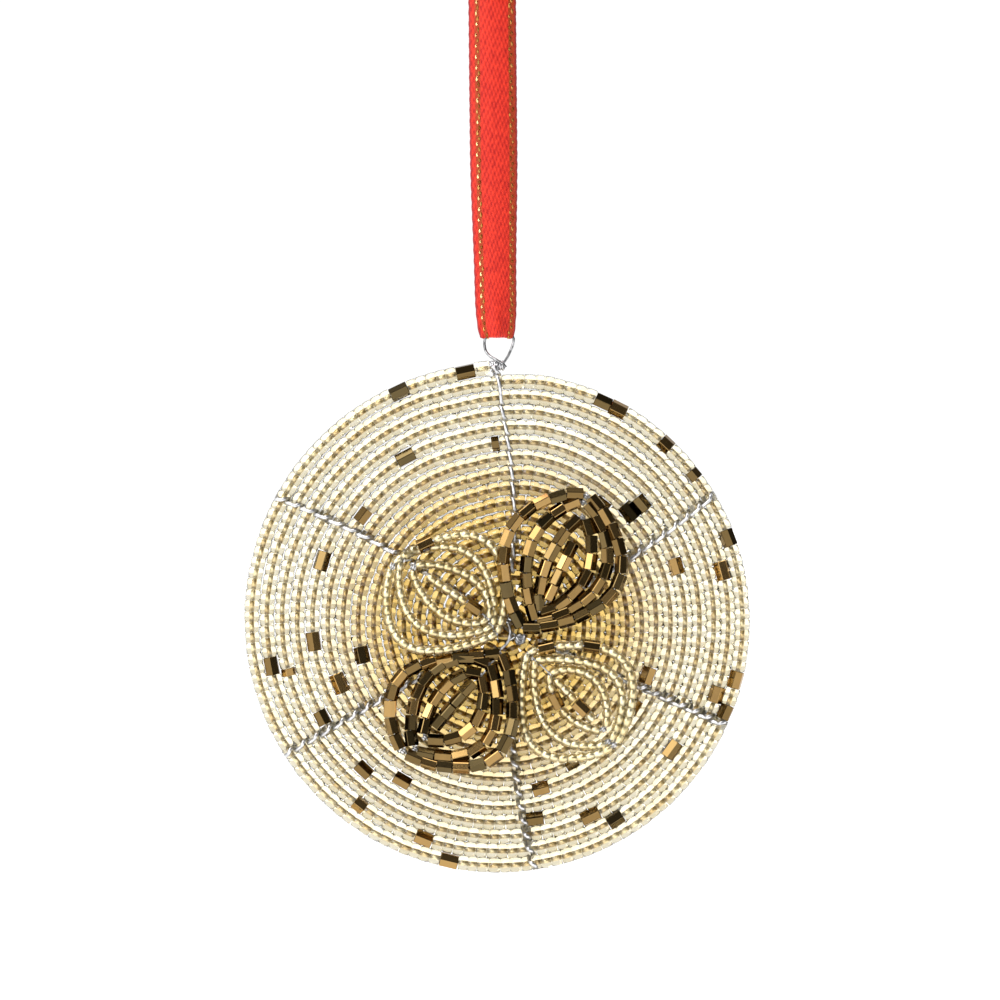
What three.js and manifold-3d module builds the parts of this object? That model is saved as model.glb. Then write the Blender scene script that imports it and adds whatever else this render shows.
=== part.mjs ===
// Beaded flower ornament: a flat disc of one seed-bead strand coiled in a spiral, bound by six
// wire spokes, with a four-petal beaded flower on its front and a ribbon loop to hang it by.
// Millimetres, +X right, +Z up, the front faces -Y. The origin is inside the top of the ribbon loop.

import * as THREE from "three";
import { mergeVertices } from "three/addons/utils/BufferGeometryUtils.js";
import Module from "manifold-3d";

// Disc
const DISC_DROP = 92;
const COIL_PITCH = 2.114;
const COIL_TURNS = 15.6;
const COIL_END_RADIUS = 36.1;
const COIL_END_TURN = 0.006;
const COIL_STEP_SHARE = 0.45;
const COIL_STEP_WIDTH = 0.03;
const COIL_DRIFT = [0.9, -0.9];
const COIL_DRIFT_TURNS = 16;
const BEAD_HALF_WIDTH = 0.975;
const BEAD_HALF_DEPTH = 1.0;
const STRAND_WIRE_RADIUS = 0.2;
const OUTER_SIDES = 24;
const INNER_SIDES = 12;
const OUTER_TURNS = 10;

// Accent beads of the coil: turns in from the rim, clock angle in degrees, length
const ACCENTS = [
  [0, 25.2, 2.3], [0, 29.8, 2.3], [0, 43.4, 1.9], [0, 70.2, 2.45], [0, 104, 2.5], [0, 112, 2.15],
  [0, 191.8, 2.6], [0, 336.4, 2.7], [0, 352, 2.7],
  [1, 77.3, 2.75], [1, 108.8, 2.4], [1, 149.8, 2.35], [1, 199.2, 2.55], [1, 217.2, 1.8], [1, 258.7, 2.6],
  [2, 126.8, 2.7], [2, 155, 2.8],
  [3, 170, 2.5], [3, 222.6, 2.4],
  [4, 50, 2.3], [4, 72.4, 2.4], [4, 211.9, 2.5], [4, 264, 2.7], [4, 288.8, 2.8], [4, 329.9, 2.7],
  [5, 48.6, 2.6], [5, 166.6, 2.4], [5, 249.3, 2.9], [6, 110, 2.5],
];
const ACCENT_RADIUS = 1.05;
const ACCENT_BORE_RADIUS = 0.5;
const BEAD_GAP = 0.15;

// Petals: each row of beads is a loop from its base to its tip, with the greatest width of its left
// and right flank and where along the axis that width lies. Points are from the disc's centre.
const FLANK_ROUNDNESS = 0.68;
const PETAL_BASE_LIFT = 2.3;
const PETAL_TIP_LIFT = 2.1;
const BRONZE_BEAD = { radius: 0.82, length: 2.9, sides: 6 };
const PALE_BEAD = { radius: 0.7, length: 3.1, sides: 5 };
const PETALS = [
  {
    name: "petal_bronze_upper_right",
    bead: BRONZE_BEAD,
    lift: [3.8, 3.4],
    rows: [
      { base: [3.3, -0.9], tip: [12.5, 17.8], left: [7.6, 0.55], right: [9.4, 0.54] },
      { base: [5.3, 0.1], tip: [12.0, 16.9], left: [4.7, 0.55], right: [6.6, 0.52] },
      { base: [5.8, 1.3], tip: [11.9, 14.8], left: [1.9, 0.5], right: [3.9, 0.5] },
    ],
    strand: { base: [6.8, 2.8], tip: [10.8, 11.6] },
  },
  {
    name: "petal_bronze_lower_left",
    bead: BRONZE_BEAD,
    lift: [4.0, 2.1],
    rows: [
      { base: [0.2, -4.7], tip: [-13.6, -18.6], left: [9.7, 0.52], right: [7.7, 0.62] },
      { base: [-1.4, -6.3], tip: [-12.0, -18.3], left: [6.8, 0.53], right: [5.4, 0.42] },
      { base: [-2.5, -7.9], tip: [-10.6, -16.7], left: [3.9, 0.52], right: [2.8, 0.4] },
    ],
    strand: { base: [-3.6, -8.6], tip: [-9.6, -15.6] },
  },
  {
    name: "petal_pale_upper_left",
    bead: PALE_BEAD,
    lift: [3.9, 2.0],
    rows: [
      { base: [-0.4, -1.8], tip: [-15.2, 7.8], left: [8.3, 0.57], right: [8.4, 0.48] },
      { base: [-1.0, -0.7], tip: [-13.8, 8.8], left: [6.2, 0.52], right: [6.3, 0.52] },
      { base: [-1.6, 0.3], tip: [-12.3, 7.6], left: [3.2, 0.45], right: [3.4, 0.42] },
    ],
    strand: { base: [-2.4, 1.0], tip: [-10.6, 6.6] },
  },
  {
    name: "petal_pale_lower_right",
    bead: PALE_BEAD,
    lift: [3.4, 2.1],
    rows: [
      { base: [4.1, -4.6], tip: [16.4, -17.7], left: [9.1, 0.55], right: [8.5, 0.57] },
      { base: [5.2, -5.6], tip: [15.6, -17.3], left: [6.8, 0.58], right: [5.2, 0.56] },
      { base: [7.3, -7.6], tip: [14.9, -15.5], left: [4.0, 0.46], right: [2.4, 0.5] },
    ],
    strand: { base: [7.9, -8.3], tip: [13.8, -14.6] },
  },
];
const SPINE_WIRE_RADIUS = 0.3;
const TIP_WRAP_RADIUS = 0.65;

// Spokes: clock angle where each crosses the rim, and where it passes the flower's edge
const SPOKES = [
  { name: "spoke_wire_top", rim: -0.9, foot: 5.7 },
  { name: "spoke_wire_right_upper", rim: 60, foot: 63.8 },
  { name: "spoke_wire_right_lower", rim: 114.8, foot: 114.6 },
  { name: "spoke_wire_bottom", rim: 172.2, foot: 175.3 },
  { name: "spoke_wire_left_lower", rim: 238, foot: 237.9 },
  { name: "spoke_wire_left_upper", rim: 299, foot: 303.4 },
];
const SPOKE_RADIUS = 0.42;
const SPOKE_CLEARANCE = 0.12;
const SPOKE_FOOT_RADIUS = 18;
const SPOKE_INNER_RADIUS = 3.4;
const SPOKE_TWIST_STEPS = 9;

// Hub binding behind and through the disc, and the wire knot of the flower
const HUB = [0.9, -1.1];
const HUB_STEM_RADIUS = 0.5;
const HUB_BOSS = { radius: 2.6, depth: 0.9, sides: 10 };
const KNOT = { at: [2.7, -2.7], lift: 2.4, radius: 1.25 };

// Wire eye
const EYE_WIRE_RADIUS = 0.25;
const EYE = { bottom: 36.9, top: 41.2, halfWidth: 1.9, squareness: 0.55, pinch: 0.4, steps: 14 };
const EYE_WRAP = { radius: 0.6, from: -1.0, to: 0.9, z: 36.6, sides: 8 };

// Ribbon loop
const RIBBON = { width: 6.7, thickness: 0.36, eyeWidth: 2.5, footWidth: 4.2 };
const RIBBON_TOP_RADIUS = 4.6;
const RIBBON_FOOT_RADIUS = 0.85;
const RIBBON_GATHER = 4.5;
const RIBBON_STRAND_STEPS = 7;
const RIBBON_TOP_STEPS = 7;
const RIBBON_FOOT_STEPS = 5;

const FRONT = new THREE.Vector3(0, -1, 0);
const wasm = await Module();
wasm.setup();

const material = (color, roughness, metalness) =>
  new THREE.MeshStandardMaterial({ color, roughness, metalness });

const MATERIALS = {
  pale: material(0xe6d9b4, 0.25, 0.35),
  bronze: material(0x7a5c38, 0.3, 0.9),
  silver: material(0xc4c6c9, 0.3, 1),
  ribbon: material(0xe0382f, 0.7, 0),
};

// Point on or in front of the disc: x and z from the disc's centre, lift in front of its middle plane
function place(x, z, lift = 0) {
  return new THREE.Vector3(x, -lift, z - DISC_DROP);
}

function clockDirection(degrees) {
  const angle = THREE.MathUtils.degToRad(degrees);
  return new THREE.Vector3(Math.sin(angle), 0, Math.cos(angle));
}

function regularSection(sides, width, depth, turn = 0) {
  return Array.from({ length: sides }, (unused, i) => {
    const angle = turn + (2 * Math.PI * i) / sides;
    return [width * Math.cos(angle), depth * Math.sin(angle)];
  });
}

// One cross-section's points round its centre
function ringAt(centre, side, front, section) {
  return section.map(([across, out]) =>
    centre.clone().addScaledVector(side, across).addScaledVector(front, out));
}

// Closed body through a list of rings that all have the same number of points
function loft(rings, closed = false) {
  const count = rings[0].length;
  const positions = rings.flat().flatMap((point) => point.toArray());
  const index = [];
  const spans = closed ? rings.length : rings.length - 1;
  for (let i = 0; i < spans; i += 1) {
    const a = i * count;
    const b = ((i + 1) % rings.length) * count;
    for (let j = 0; j < count; j += 1) {
      const k = (j + 1) % count;
      index.push(a + j, a + k, b + k, a + j, b + k, b + j);
    }
  }
  if (!closed) {
    const last = (rings.length - 1) * count;
    for (let j = 1; j < count - 1; j += 1) {
      index.push(0, j + 1, j, last, last + j, last + j + 1);
    }
  }
  const geometry = new THREE.BufferGeometry();
  geometry.setAttribute("position", new THREE.Float32BufferAttribute(positions, 3));
  geometry.setIndex(index);
  return facingOut(geometry);
}

// Turns every face over where the body's signed volume is negative
function facingOut(geometry) {
  const position = geometry.attributes.position;
  const index = geometry.index.array;
  const corners = [new THREE.Vector3(), new THREE.Vector3(), new THREE.Vector3()];
  let volume = 0;
  for (let i = 0; i < index.length; i += 3) {
    corners.forEach((corner, j) => corner.fromBufferAttribute(position, index[i + j]));
    volume += corners[0].dot(corners[1].clone().cross(corners[2]));
  }
  if (volume < 0) {
    for (let i = 0; i < index.length; i += 3) {
      [index[i + 1], index[i + 2]] = [index[i + 2], index[i + 1]];
    }
  }
  return geometry;
}

function toManifold(geometry) {
  const bare = geometry.clone();
  bare.deleteAttribute("normal");
  bare.deleteAttribute("uv");
  const merged = mergeVertices(bare, 1e-4);
  return new wasm.Manifold(new wasm.Mesh({
    numProp: 3,
    vertProperties: new Float32Array(merged.attributes.position.array),
    triVerts: new Uint32Array(merged.index.array),
  }));
}

function fuse(geometries) {
  const joined = geometries.map(toManifold).reduce((whole, next) => whole.add(next));
  const mesh = joined.getMesh();
  const geometry = new THREE.BufferGeometry();
  geometry.setAttribute("position", new THREE.Float32BufferAttribute(mesh.vertProperties, 3));
  geometry.setIndex(Array.from(mesh.triVerts));
  return geometry;
}

// Tube along open points. Its section keeps one axis near the given up direction.
function tube(points, section, up) {
  const rings = points.map((point, i) => {
    const before = points[Math.max(i - 1, 0)];
    const after = points[Math.min(i + 1, points.length - 1)];
    const along = after.clone().sub(before).normalize();
    const side = along.clone().cross(up).normalize();
    const front = side.clone().cross(along).normalize();
    return ringAt(point, side, front, section(i));
  });
  return loft(rings);
}

// Centre of the spiral strand, by turns in from the rim end. The radius grows by one pitch a turn,
// with a share of it taken as a step where the turn passes the top spoke.
function coilPoint(turn) {
  const share = 1 - (turn % 1);
  const window = Math.min(1, share / COIL_STEP_WIDTH, (1 - share) / COIL_STEP_WIDTH);
  const lag = COIL_STEP_SHARE * (0.5 - share) * window;
  const radius = COIL_END_RADIUS - COIL_PITCH * (turn - lag);
  const drift = turn / COIL_DRIFT_TURNS;
  const direction = clockDirection(-360 * turn);
  return place(COIL_DRIFT[0] * drift, COIL_DRIFT[1] * drift).addScaledVector(direction, radius);
}

function coilStations() {
  const stations = [COIL_END_TURN];
  for (let i = 1; i <= OUTER_TURNS * OUTER_SIDES; i += 1) {
    stations.push(i / OUTER_SIDES);
  }
  for (let i = 1; i / INNER_SIDES + OUTER_TURNS < COIL_TURNS; i += 1) {
    stations.push(OUTER_TURNS + i / INNER_SIDES);
  }
  return stations;
}

// Point on the faceted spiral, straight between two stations
function facetedPoint(turn) {
  const sides = turn < OUTER_TURNS ? OUTER_SIDES : INNER_SIDES;
  const lower = Math.max(Math.floor(turn * sides) / sides, COIL_END_TURN);
  const upper = (Math.floor(turn * sides) + 1) / sides;
  return coilPoint(lower).lerp(coilPoint(upper), (turn - lower) / (upper - lower));
}

// Where each accent bead starts and ends on the strand, in turns
function accentSpans() {
  return ACCENTS.map(([ring, clock, length]) => {
    const middle = ring + 1 - clock / 360;
    const radius = COIL_END_RADIUS - COIL_PITCH * middle;
    const half = length / (4 * Math.PI * radius);
    const gap = BEAD_GAP / (2 * Math.PI * radius);
    return { from: middle - half, to: middle + half, gap };
  }).sort((a, b) => a.from - b.from);
}

// The coil is the full strand, drawn in to its bare wire through each accent bead
function coilGeometry(spans) {
  const full = regularSection(6, BEAD_HALF_WIDTH, BEAD_HALF_DEPTH / Math.sin(Math.PI / 3));
  const bare = regularSection(6, STRAND_WIRE_RADIUS, STRAND_WIRE_RADIUS);
  const ring = (turn, section) => ({
    turn,
    points: ringAt(facetedPoint(turn), clockDirection(-360 * turn), FRONT, section),
  });
  const clear = (turn) => spans.every((span) =>
    turn < span.from - 2 * span.gap || turn > span.to + 2 * span.gap);
  const rings = coilStations().filter(clear).map((turn) => ring(turn, full));
  spans.forEach(({ from, to, gap }, i) => {
    const start = from - gap;
    const end = to + gap;
    const joinsLast = i > 0 && start - spans[i - 1].to < 3 * gap;
    const joinsNext = i < spans.length - 1 && spans[i + 1].from - end < 3 * gap;
    if (!joinsLast) {
      rings.push(ring(start, full), ring(start, bare));
    }
    if (!joinsNext) {
      rings.push(ring(end, bare), ring(end, full));
    }
  });
  rings.forEach((entry, i) => {
    entry.order = i;
  });
  rings.sort((a, b) => a.turn - b.turn || a.order - b.order);
  return loft(rings.map((entry) => entry.points));
}

// Hexagonal bead with a bore, its axis along the strand
function accentGeometry({ from, to }) {
  const start = facetedPoint(from);
  const end = facetedPoint(to);
  const along = end.clone().sub(start).normalize();
  const side = along.clone().cross(FRONT).normalize();
  const bend = facetedPoint((from + to) / 2).sub(start.clone().lerp(end, 0.5)).multiplyScalar(0.5);
  const outer = regularSection(6, ACCENT_RADIUS, ACCENT_RADIUS, Math.PI / 6);
  const bore = regularSection(6, ACCENT_BORE_RADIUS, ACCENT_BORE_RADIUS, Math.PI / 6);
  const rings = [[start, outer], [end, outer], [end, bore], [start, bore]];
  return loft(rings.map(([at, section]) => ringAt(at.clone().add(bend), side, FRONT, section)), true);
}

// Closed loop of one bead row: out along the left flank, back along the right one
class RowCurve extends THREE.Curve {
  constructor(row, outerRow, lift) {
    super();
    this.row = row;
    this.lift = [row.left[0] / outerRow.left[0], row.right[0] / outerRow.right[0]]
      .map((share, i) => lift[i] * (0.5 + 0.5 * share));
  }

  getPoint(t, target = new THREE.Vector3()) {
    const leftward = t < 0.5;
    const travel = leftward ? 2 * t : 2 - 2 * t;
    const along = (1 - Math.cos(Math.PI * travel)) / 2;
    const [width, peak] = leftward ? this.row.left : this.row.right;
    const skew = Math.log(0.5) / Math.log(peak);
    const swell = Math.max(Math.sin(Math.PI * along ** skew), 0) ** FLANK_ROUNDNESS;
    const [baseX, baseZ] = this.row.base;
    const [tipX, tipZ] = this.row.tip;
    const reach = Math.hypot(tipX - baseX, tipZ - baseZ);
    const offset = ((leftward ? 1 : -1) * width * swell) / reach;
    const x = baseX + (tipX - baseX) * along - (tipZ - baseZ) * offset;
    const z = baseZ + (tipZ - baseZ) * along + (tipX - baseX) * offset;
    const rest = THREE.MathUtils.lerp(PETAL_BASE_LIFT, PETAL_TIP_LIFT, along);
    const lift = rest + (this.lift[leftward ? 0 : 1] - rest) * Math.sin(Math.PI * along);
    return target.copy(place(x, z, BEAD_HALF_DEPTH + lift));
  }
}

function rowGeometry(curve, bead) {
  const steps = Math.round(curve.getLength() / bead.length);
  const points = curve.getSpacedPoints(steps).slice(0, steps);
  const section = regularSection(bead.sides, bead.radius, bead.radius);
  const rings = points.map((point, i) => {
    const before = points[(i + steps - 1) % steps];
    const after = points[(i + 1) % steps];
    const along = after.clone().sub(before).normalize();
    return ringAt(point, along.cross(FRONT).normalize(), FRONT, section);
  });
  return loft(rings, true);
}

// Wire from the flower's knot through the base of every row, along the axis, to every tip
function spineGeometry(petal) {
  const bases = petal.rows.map((row) => place(...row.base, BEAD_HALF_DEPTH + PETAL_BASE_LIFT));
  const tips = petal.rows.map((row) => place(...row.tip, BEAD_HALF_DEPTH + PETAL_TIP_LIFT)).reverse();
  const knot = place(...KNOT.at, BEAD_HALF_DEPTH + KNOT.lift);
  const reach = knot.clone().sub(bases[0]);
  const start = bases[0].clone().add(reach.setLength(Math.max(reach.length() - KNOT.radius - BEAD_GAP, 0.1)));
  const wire = regularSection(4, SPINE_WIRE_RADIUS, SPINE_WIRE_RADIUS, Math.PI / 4);
  return tube([start, ...bases, ...tips], () => wire, FRONT);
}

function strandGeometry({ strand, bead }) {
  const from = place(...strand.base, BEAD_HALF_DEPTH + PETAL_BASE_LIFT);
  const to = place(...strand.tip, BEAD_HALF_DEPTH + PETAL_TIP_LIFT);
  const section = regularSection(bead.sides, bead.radius, bead.radius);
  return tube([from, to], () => section, FRONT);
}

function wrapGeometry(point, radius) {
  const wrap = new THREE.SphereGeometry(radius, 5, 3);
  wrap.translate(...point.toArray());
  return wrap;
}

function petalGeometry(petal) {
  const rows = petal.rows.map((row) => rowGeometry(new RowCurve(row, petal.rows[0], petal.lift), petal.bead));
  const tipWraps = petal.rows.slice(0, 2).map((row) =>
    wrapGeometry(place(...row.tip, BEAD_HALF_DEPTH + PETAL_TIP_LIFT), TIP_WRAP_RADIUS));
  return fuse([...rows, spineGeometry(petal), strandGeometry(petal), ...tipWraps]);
}

// Outer edge of the coil at a clock angle
function rimRadius(clock) {
  const turn = THREE.MathUtils.euclideanModulo(-clock, 360) / 360;
  const point = coilPoint(clock < 0 ? 1 : Math.max(turn, COIL_END_TURN)).sub(place(0, 0));
  return point.length() + BEAD_HALF_WIDTH;
}

// Twisted pair laid over the front of the coil, round its rim and down its back
function spokeGeometry({ rim, foot }) {
  const lift = ACCENT_RADIUS + SPOKE_CLEARANCE + SPOKE_RADIUS;
  const edge = rimRadius(rim) + SPOKE_CLEARANCE + SPOKE_RADIUS;
  const rimDirection = clockDirection(rim);
  const footPoint = place(0, 0).addScaledVector(clockDirection(foot), SPOKE_FOOT_RADIUS);
  const hub = place(...HUB);
  const inner = hub.clone().add(footPoint.clone().sub(hub).setLength(SPOKE_INNER_RADIUS));
  const rimPoint = place(0, 0).addScaledVector(rimDirection, edge - SPOKE_RADIUS);
  const front = [inner, footPoint, rimPoint].map((point) => point.clone().addScaledVector(FRONT, lift));
  const leg = new THREE.CurvePath();
  leg.add(new THREE.LineCurve3(front[0], front[1]));
  leg.add(new THREE.LineCurve3(front[1], front[2]));
  const twist = leg.getSpacedPoints(SPOKE_TWIST_STEPS);
  const outer = place(0, 0).addScaledVector(rimDirection, edge);
  const bend = [outer.clone().addScaledVector(FRONT, lift - SPOKE_RADIUS),
    outer.clone().addScaledVector(FRONT, SPOKE_RADIUS - lift)];
  const back = [rimPoint, inner].map((point) => point.clone().addScaledVector(FRONT, -lift));
  const points = [...twist, ...bend, ...back];
  const side = new THREE.Vector3().crossVectors(FRONT, rimDirection).normalize();
  const rings = points.map((point, i) => {
    const before = points[Math.max(i - 1, 0)];
    const after = points[Math.min(i + 1, points.length - 1)];
    const along = after.clone().sub(before).normalize();
    const out = side.clone().cross(along).normalize();
    const turn = i < SPOKE_TWIST_STEPS ? (i * Math.PI) / 4 : 0;
    return ringAt(point, side, out, regularSection(4, SPOKE_RADIUS, SPOKE_RADIUS, turn));
  });
  return loft(rings);
}

// Boss of wound wire behind the disc, its stem through the middle and the knot that ties the petals
function hubGeometry() {
  const boss = new THREE.CylinderGeometry(HUB_BOSS.radius, HUB_BOSS.radius, HUB_BOSS.depth, HUB_BOSS.sides);
  const bossMiddle = BEAD_HALF_DEPTH + SPOKE_CLEARANCE + HUB_BOSS.depth / 2;
  boss.translate(...place(...HUB, -bossMiddle).toArray());
  const stemSection = regularSection(6, HUB_STEM_RADIUS, HUB_STEM_RADIUS);
  const knot = place(...KNOT.at, BEAD_HALF_DEPTH + KNOT.lift);
  const stem = tube([
    place(...HUB, -bossMiddle),
    place(...HUB, BEAD_HALF_DEPTH + KNOT.lift / 2),
    knot,
  ], () => stemSection, new THREE.Vector3(0, 0, 1));
  const ball = new THREE.SphereGeometry(KNOT.radius, 7, 4);
  ball.translate(...knot.toArray());
  return fuse([boss, stem, ball]);
}

// Teardrop wire eye with the wraps at its foot
function eyeGeometry() {
  const middle = (EYE.top + EYE.bottom) / 2;
  const halfHeight = (EYE.top - EYE.bottom) / 2;
  const section = regularSection(6, EYE_WIRE_RADIUS, EYE_WIRE_RADIUS);
  const points = Array.from({ length: EYE.steps }, (unused, i) => {
    const angle = (2 * Math.PI * i) / EYE.steps;
    const power = Math.cos(angle) > 0 ? EYE.squareness : 1;
    const [across, up] = [Math.sin(angle), Math.cos(angle)]
      .map((value) => Math.sign(value) * Math.abs(value) ** power);
    const pinch = 1 - EYE.pinch * (1 - up) / 2;
    return place(EYE.halfWidth * across * pinch, middle + halfHeight * up);
  });
  const rings = points.map((point, i) => {
    const before = points[(i + EYE.steps - 1) % EYE.steps];
    const after = points[(i + 1) % EYE.steps];
    const along = after.clone().sub(before).normalize();
    return ringAt(point, along.cross(FRONT).normalize(), FRONT, section);
  });
  const wrap = new THREE.CylinderGeometry(EYE_WRAP.radius, EYE_WRAP.radius, EYE_WRAP.to - EYE_WRAP.from, EYE_WRAP.sides);
  wrap.rotateZ(Math.PI / 2);
  wrap.translate(...place((EYE_WRAP.from + EYE_WRAP.to) / 2, EYE_WRAP.z).toArray());
  return fuse([loft(rings, true), wrap]);
}

// Ribbon's middle line, a closed loop in the plane across the disc: under the wire of the eye,
// up the front, over the top and down the back. Each entry also has the ribbon's width there.
function ribbonStations() {
  const footZ = EYE.top - DISC_DROP;
  const topZ = RIBBON.thickness / 2 - RIBBON_TOP_RADIUS;
  const foot = [];
  for (let i = 0; i < RIBBON_FOOT_STEPS; i += 1) {
    const angle = Math.PI * (i / RIBBON_FOOT_STEPS);
    const width = THREE.MathUtils.lerp(RIBBON.eyeWidth, RIBBON.footWidth, Math.cos(angle) ** 2);
    foot.push({ y: RIBBON_FOOT_RADIUS * Math.cos(angle), z: footZ - RIBBON_FOOT_RADIUS * Math.sin(angle), width });
  }
  const front = [];
  for (let i = 0; i < RIBBON_STRAND_STEPS; i += 1) {
    const share = i / RIBBON_STRAND_STEPS;
    const z = THREE.MathUtils.lerp(footZ, topZ, share);
    const spread = THREE.MathUtils.smoothstep(z, footZ, footZ + RIBBON_GATHER);
    const width = THREE.MathUtils.lerp(RIBBON.footWidth, RIBBON.width, spread);
    front.push({ y: -THREE.MathUtils.lerp(RIBBON_FOOT_RADIUS, RIBBON_TOP_RADIUS, share), z, width });
  }
  const top = [];
  for (let i = 0; i <= RIBBON_TOP_STEPS; i += 1) {
    const angle = Math.PI * (i / RIBBON_TOP_STEPS);
    const y = -RIBBON_TOP_RADIUS * Math.cos(angle);
    top.push({ y, z: topZ + RIBBON_TOP_RADIUS * Math.sin(angle), width: RIBBON.width });
  }
  const back = front.slice(1).reverse().map((station) => ({ ...station, y: -station.y }));
  return [...foot, ...front, ...top, ...back];
}

function ribbonGeometry() {
  const stations = ribbonStations();
  const count = stations.length;
  const side = new THREE.Vector3(1, 0, 0);
  const rings = stations.map((station, i) => {
    const before = stations[(i + count - 1) % count];
    const after = stations[(i + 1) % count];
    const along = new THREE.Vector3(0, after.y - before.y, after.z - before.z).normalize();
    const out = side.clone().cross(along);
    const half = station.width / 2;
    const thick = RIBBON.thickness / 2;
    const section = [[half, -0.5 * thick], [half, 0.5 * thick], [0.9 * half, thick], [-0.9 * half, thick],
      [-half, 0.5 * thick], [-half, -0.5 * thick], [-0.9 * half, -thick], [0.9 * half, -thick]];
    return ringAt(new THREE.Vector3(0, station.y, station.z), side, out, section);
  });
  return loft(rings, true);
}

function named(name, geometry, finish) {
  const mesh = new THREE.Mesh(geometry, finish);
  mesh.name = name;
  return mesh;
}

const ornament = new THREE.Group();
const disc = new THREE.Group();
const flower = new THREE.Group();
const spans = accentSpans();

disc.add(named("bead_coil", coilGeometry(spans), MATERIALS.pale));
spans.forEach((span, i) => {
  const number = String(i + 1).padStart(2, "0");
  disc.add(named(`accent_bead_${number}`, accentGeometry(span), MATERIALS.bronze));
});
SPOKES.forEach((spoke) => disc.add(named(spoke.name, spokeGeometry(spoke), MATERIALS.silver)));
disc.add(named("hanging_eye", eyeGeometry(), MATERIALS.silver));
PETALS.forEach((petal) => {
  const finish = petal.bead === BRONZE_BEAD ? MATERIALS.bronze : MATERIALS.pale;
  flower.add(named(petal.name, petalGeometry(petal), finish));
});
flower.add(named("hub_binding", hubGeometry(), MATERIALS.silver));
ornament.add(disc, flower, named("ribbon_loop", ribbonGeometry(), MATERIALS.ribbon));

export default ornament;
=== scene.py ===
"""Dresses the beaded flower ornament: a coiled disc of glass beads, a wired flower and a ribbon loop.

Sizes are in millimetres until a mesh is made of them, which is in metres. The front faces -Y, and
places on the disc are given from the disc's centre.
"""
import logging
import math
import random
from collections.abc import Iterable, Sequence
from dataclasses import dataclass, field
from enum import Enum

import bpy
from mathutils import Matrix, Vector


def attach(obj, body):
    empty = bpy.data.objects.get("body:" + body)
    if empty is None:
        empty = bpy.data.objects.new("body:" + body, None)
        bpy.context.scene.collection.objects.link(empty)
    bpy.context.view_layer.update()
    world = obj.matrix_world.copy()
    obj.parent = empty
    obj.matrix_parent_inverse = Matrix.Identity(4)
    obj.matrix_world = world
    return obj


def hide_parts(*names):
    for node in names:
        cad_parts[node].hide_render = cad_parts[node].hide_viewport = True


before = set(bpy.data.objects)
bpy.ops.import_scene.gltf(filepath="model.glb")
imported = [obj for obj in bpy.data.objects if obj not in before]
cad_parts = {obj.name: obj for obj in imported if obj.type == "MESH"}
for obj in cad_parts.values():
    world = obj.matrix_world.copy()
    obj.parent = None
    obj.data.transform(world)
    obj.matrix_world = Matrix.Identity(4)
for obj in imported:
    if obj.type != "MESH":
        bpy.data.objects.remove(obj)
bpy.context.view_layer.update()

BODY = "root"
MM = 0.001
DISC_DROP = 92.0
FRONT = Vector((0.0, -1.0, 0.0))
ACROSS = Vector((1.0, 0.0, 0.0))
FULL_TURN = 2 * math.pi

Pair = tuple[float, float]
Triple = tuple[float, float, float]
Colour = tuple[float, float, float]
Stops = tuple[tuple[float, Colour], ...]

log = logging.getLogger("ornament")


def place(x: float, z: float, lift: float = 0.0) -> Vector:
    """Returns the point x, z from the disc's centre, lift in front of its middle plane."""
    return Vector((x, -lift, z - DISC_DROP))


def clock_direction(degrees: float) -> Vector:
    """Returns the direction from the disc's centre at a clock angle, with 0 at the top."""
    angle = math.radians(degrees)
    return Vector((math.sin(angle), 0.0, math.cos(angle)))


def blend(a: float, b: float, share: float) -> float:
    """Returns the value that lies a share of the way from a to b."""
    return a + (b - a) * share


def smooth_step(value: float, low: float, high: float) -> float:
    """Returns 0 below low, 1 above high and an even rise between them."""
    t = min(max((value - low) / (high - low), 0.0), 1.0)
    return t * t * (3 - 2 * t)


class Line:
    """A path through points, measured by its length."""

    def __init__(self, points: Sequence[Vector]) -> None:
        """Adds up the lengths along the points.

        Args:
            points: The points that the path runs through.
        """
        self.points = list(points)
        self.marks = [0.0]
        for a, b in zip(self.points, self.points[1:]):
            self.marks.append(self.marks[-1] + (b - a).length)

    @property
    def length(self) -> float:
        """Returns the whole length."""
        return self.marks[-1]

    def at(self, distance: float) -> Vector:
        """Finds the point at a distance from the start.

        Args:
            distance: The length of path before the point.

        Returns:
            The point.
        """
        low, high = 0, len(self.marks) - 1
        while high - low > 1:
            middle = (low + high) // 2
            if self.marks[middle] <= distance:
                low = middle
            else:
                high = middle
        span = max(self.marks[high] - self.marks[low], 1e-9)
        return self.points[low].lerp(self.points[high], (distance - self.marks[low]) / span)

    def cut(self, start: float, end: float, step: float) -> list[Vector]:
        """Returns evenly spaced points from start to end, about one step apart."""
        count = max(2, round((end - start) / step))
        return [self.at(blend(start, end, i / count)) for i in range(count + 1)]


def smooth_route(stops: Sequence[Vector], steps: int = 8) -> list[Vector]:
    """Rounds a route that is given by a few stops.

    Args:
        stops: The points that the route passes through.
        steps: How many short spans lie between two stops.

    Returns:
        Points on one smooth curve through all the stops.
    """
    padded = [stops[0], *stops, stops[-1]]
    route = []
    for a, b, c, d in zip(padded, padded[1:], padded[2:], padded[3:]):
        for i in range(steps):
            t = i / steps
            route.append(0.5 * (2 * b + (c - a) * t + (2 * a - 5 * b + 4 * c - d) * t**2
                                + (3 * b - a - 3 * c + d) * t**3))
    return [*route, stops[-1]]


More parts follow.
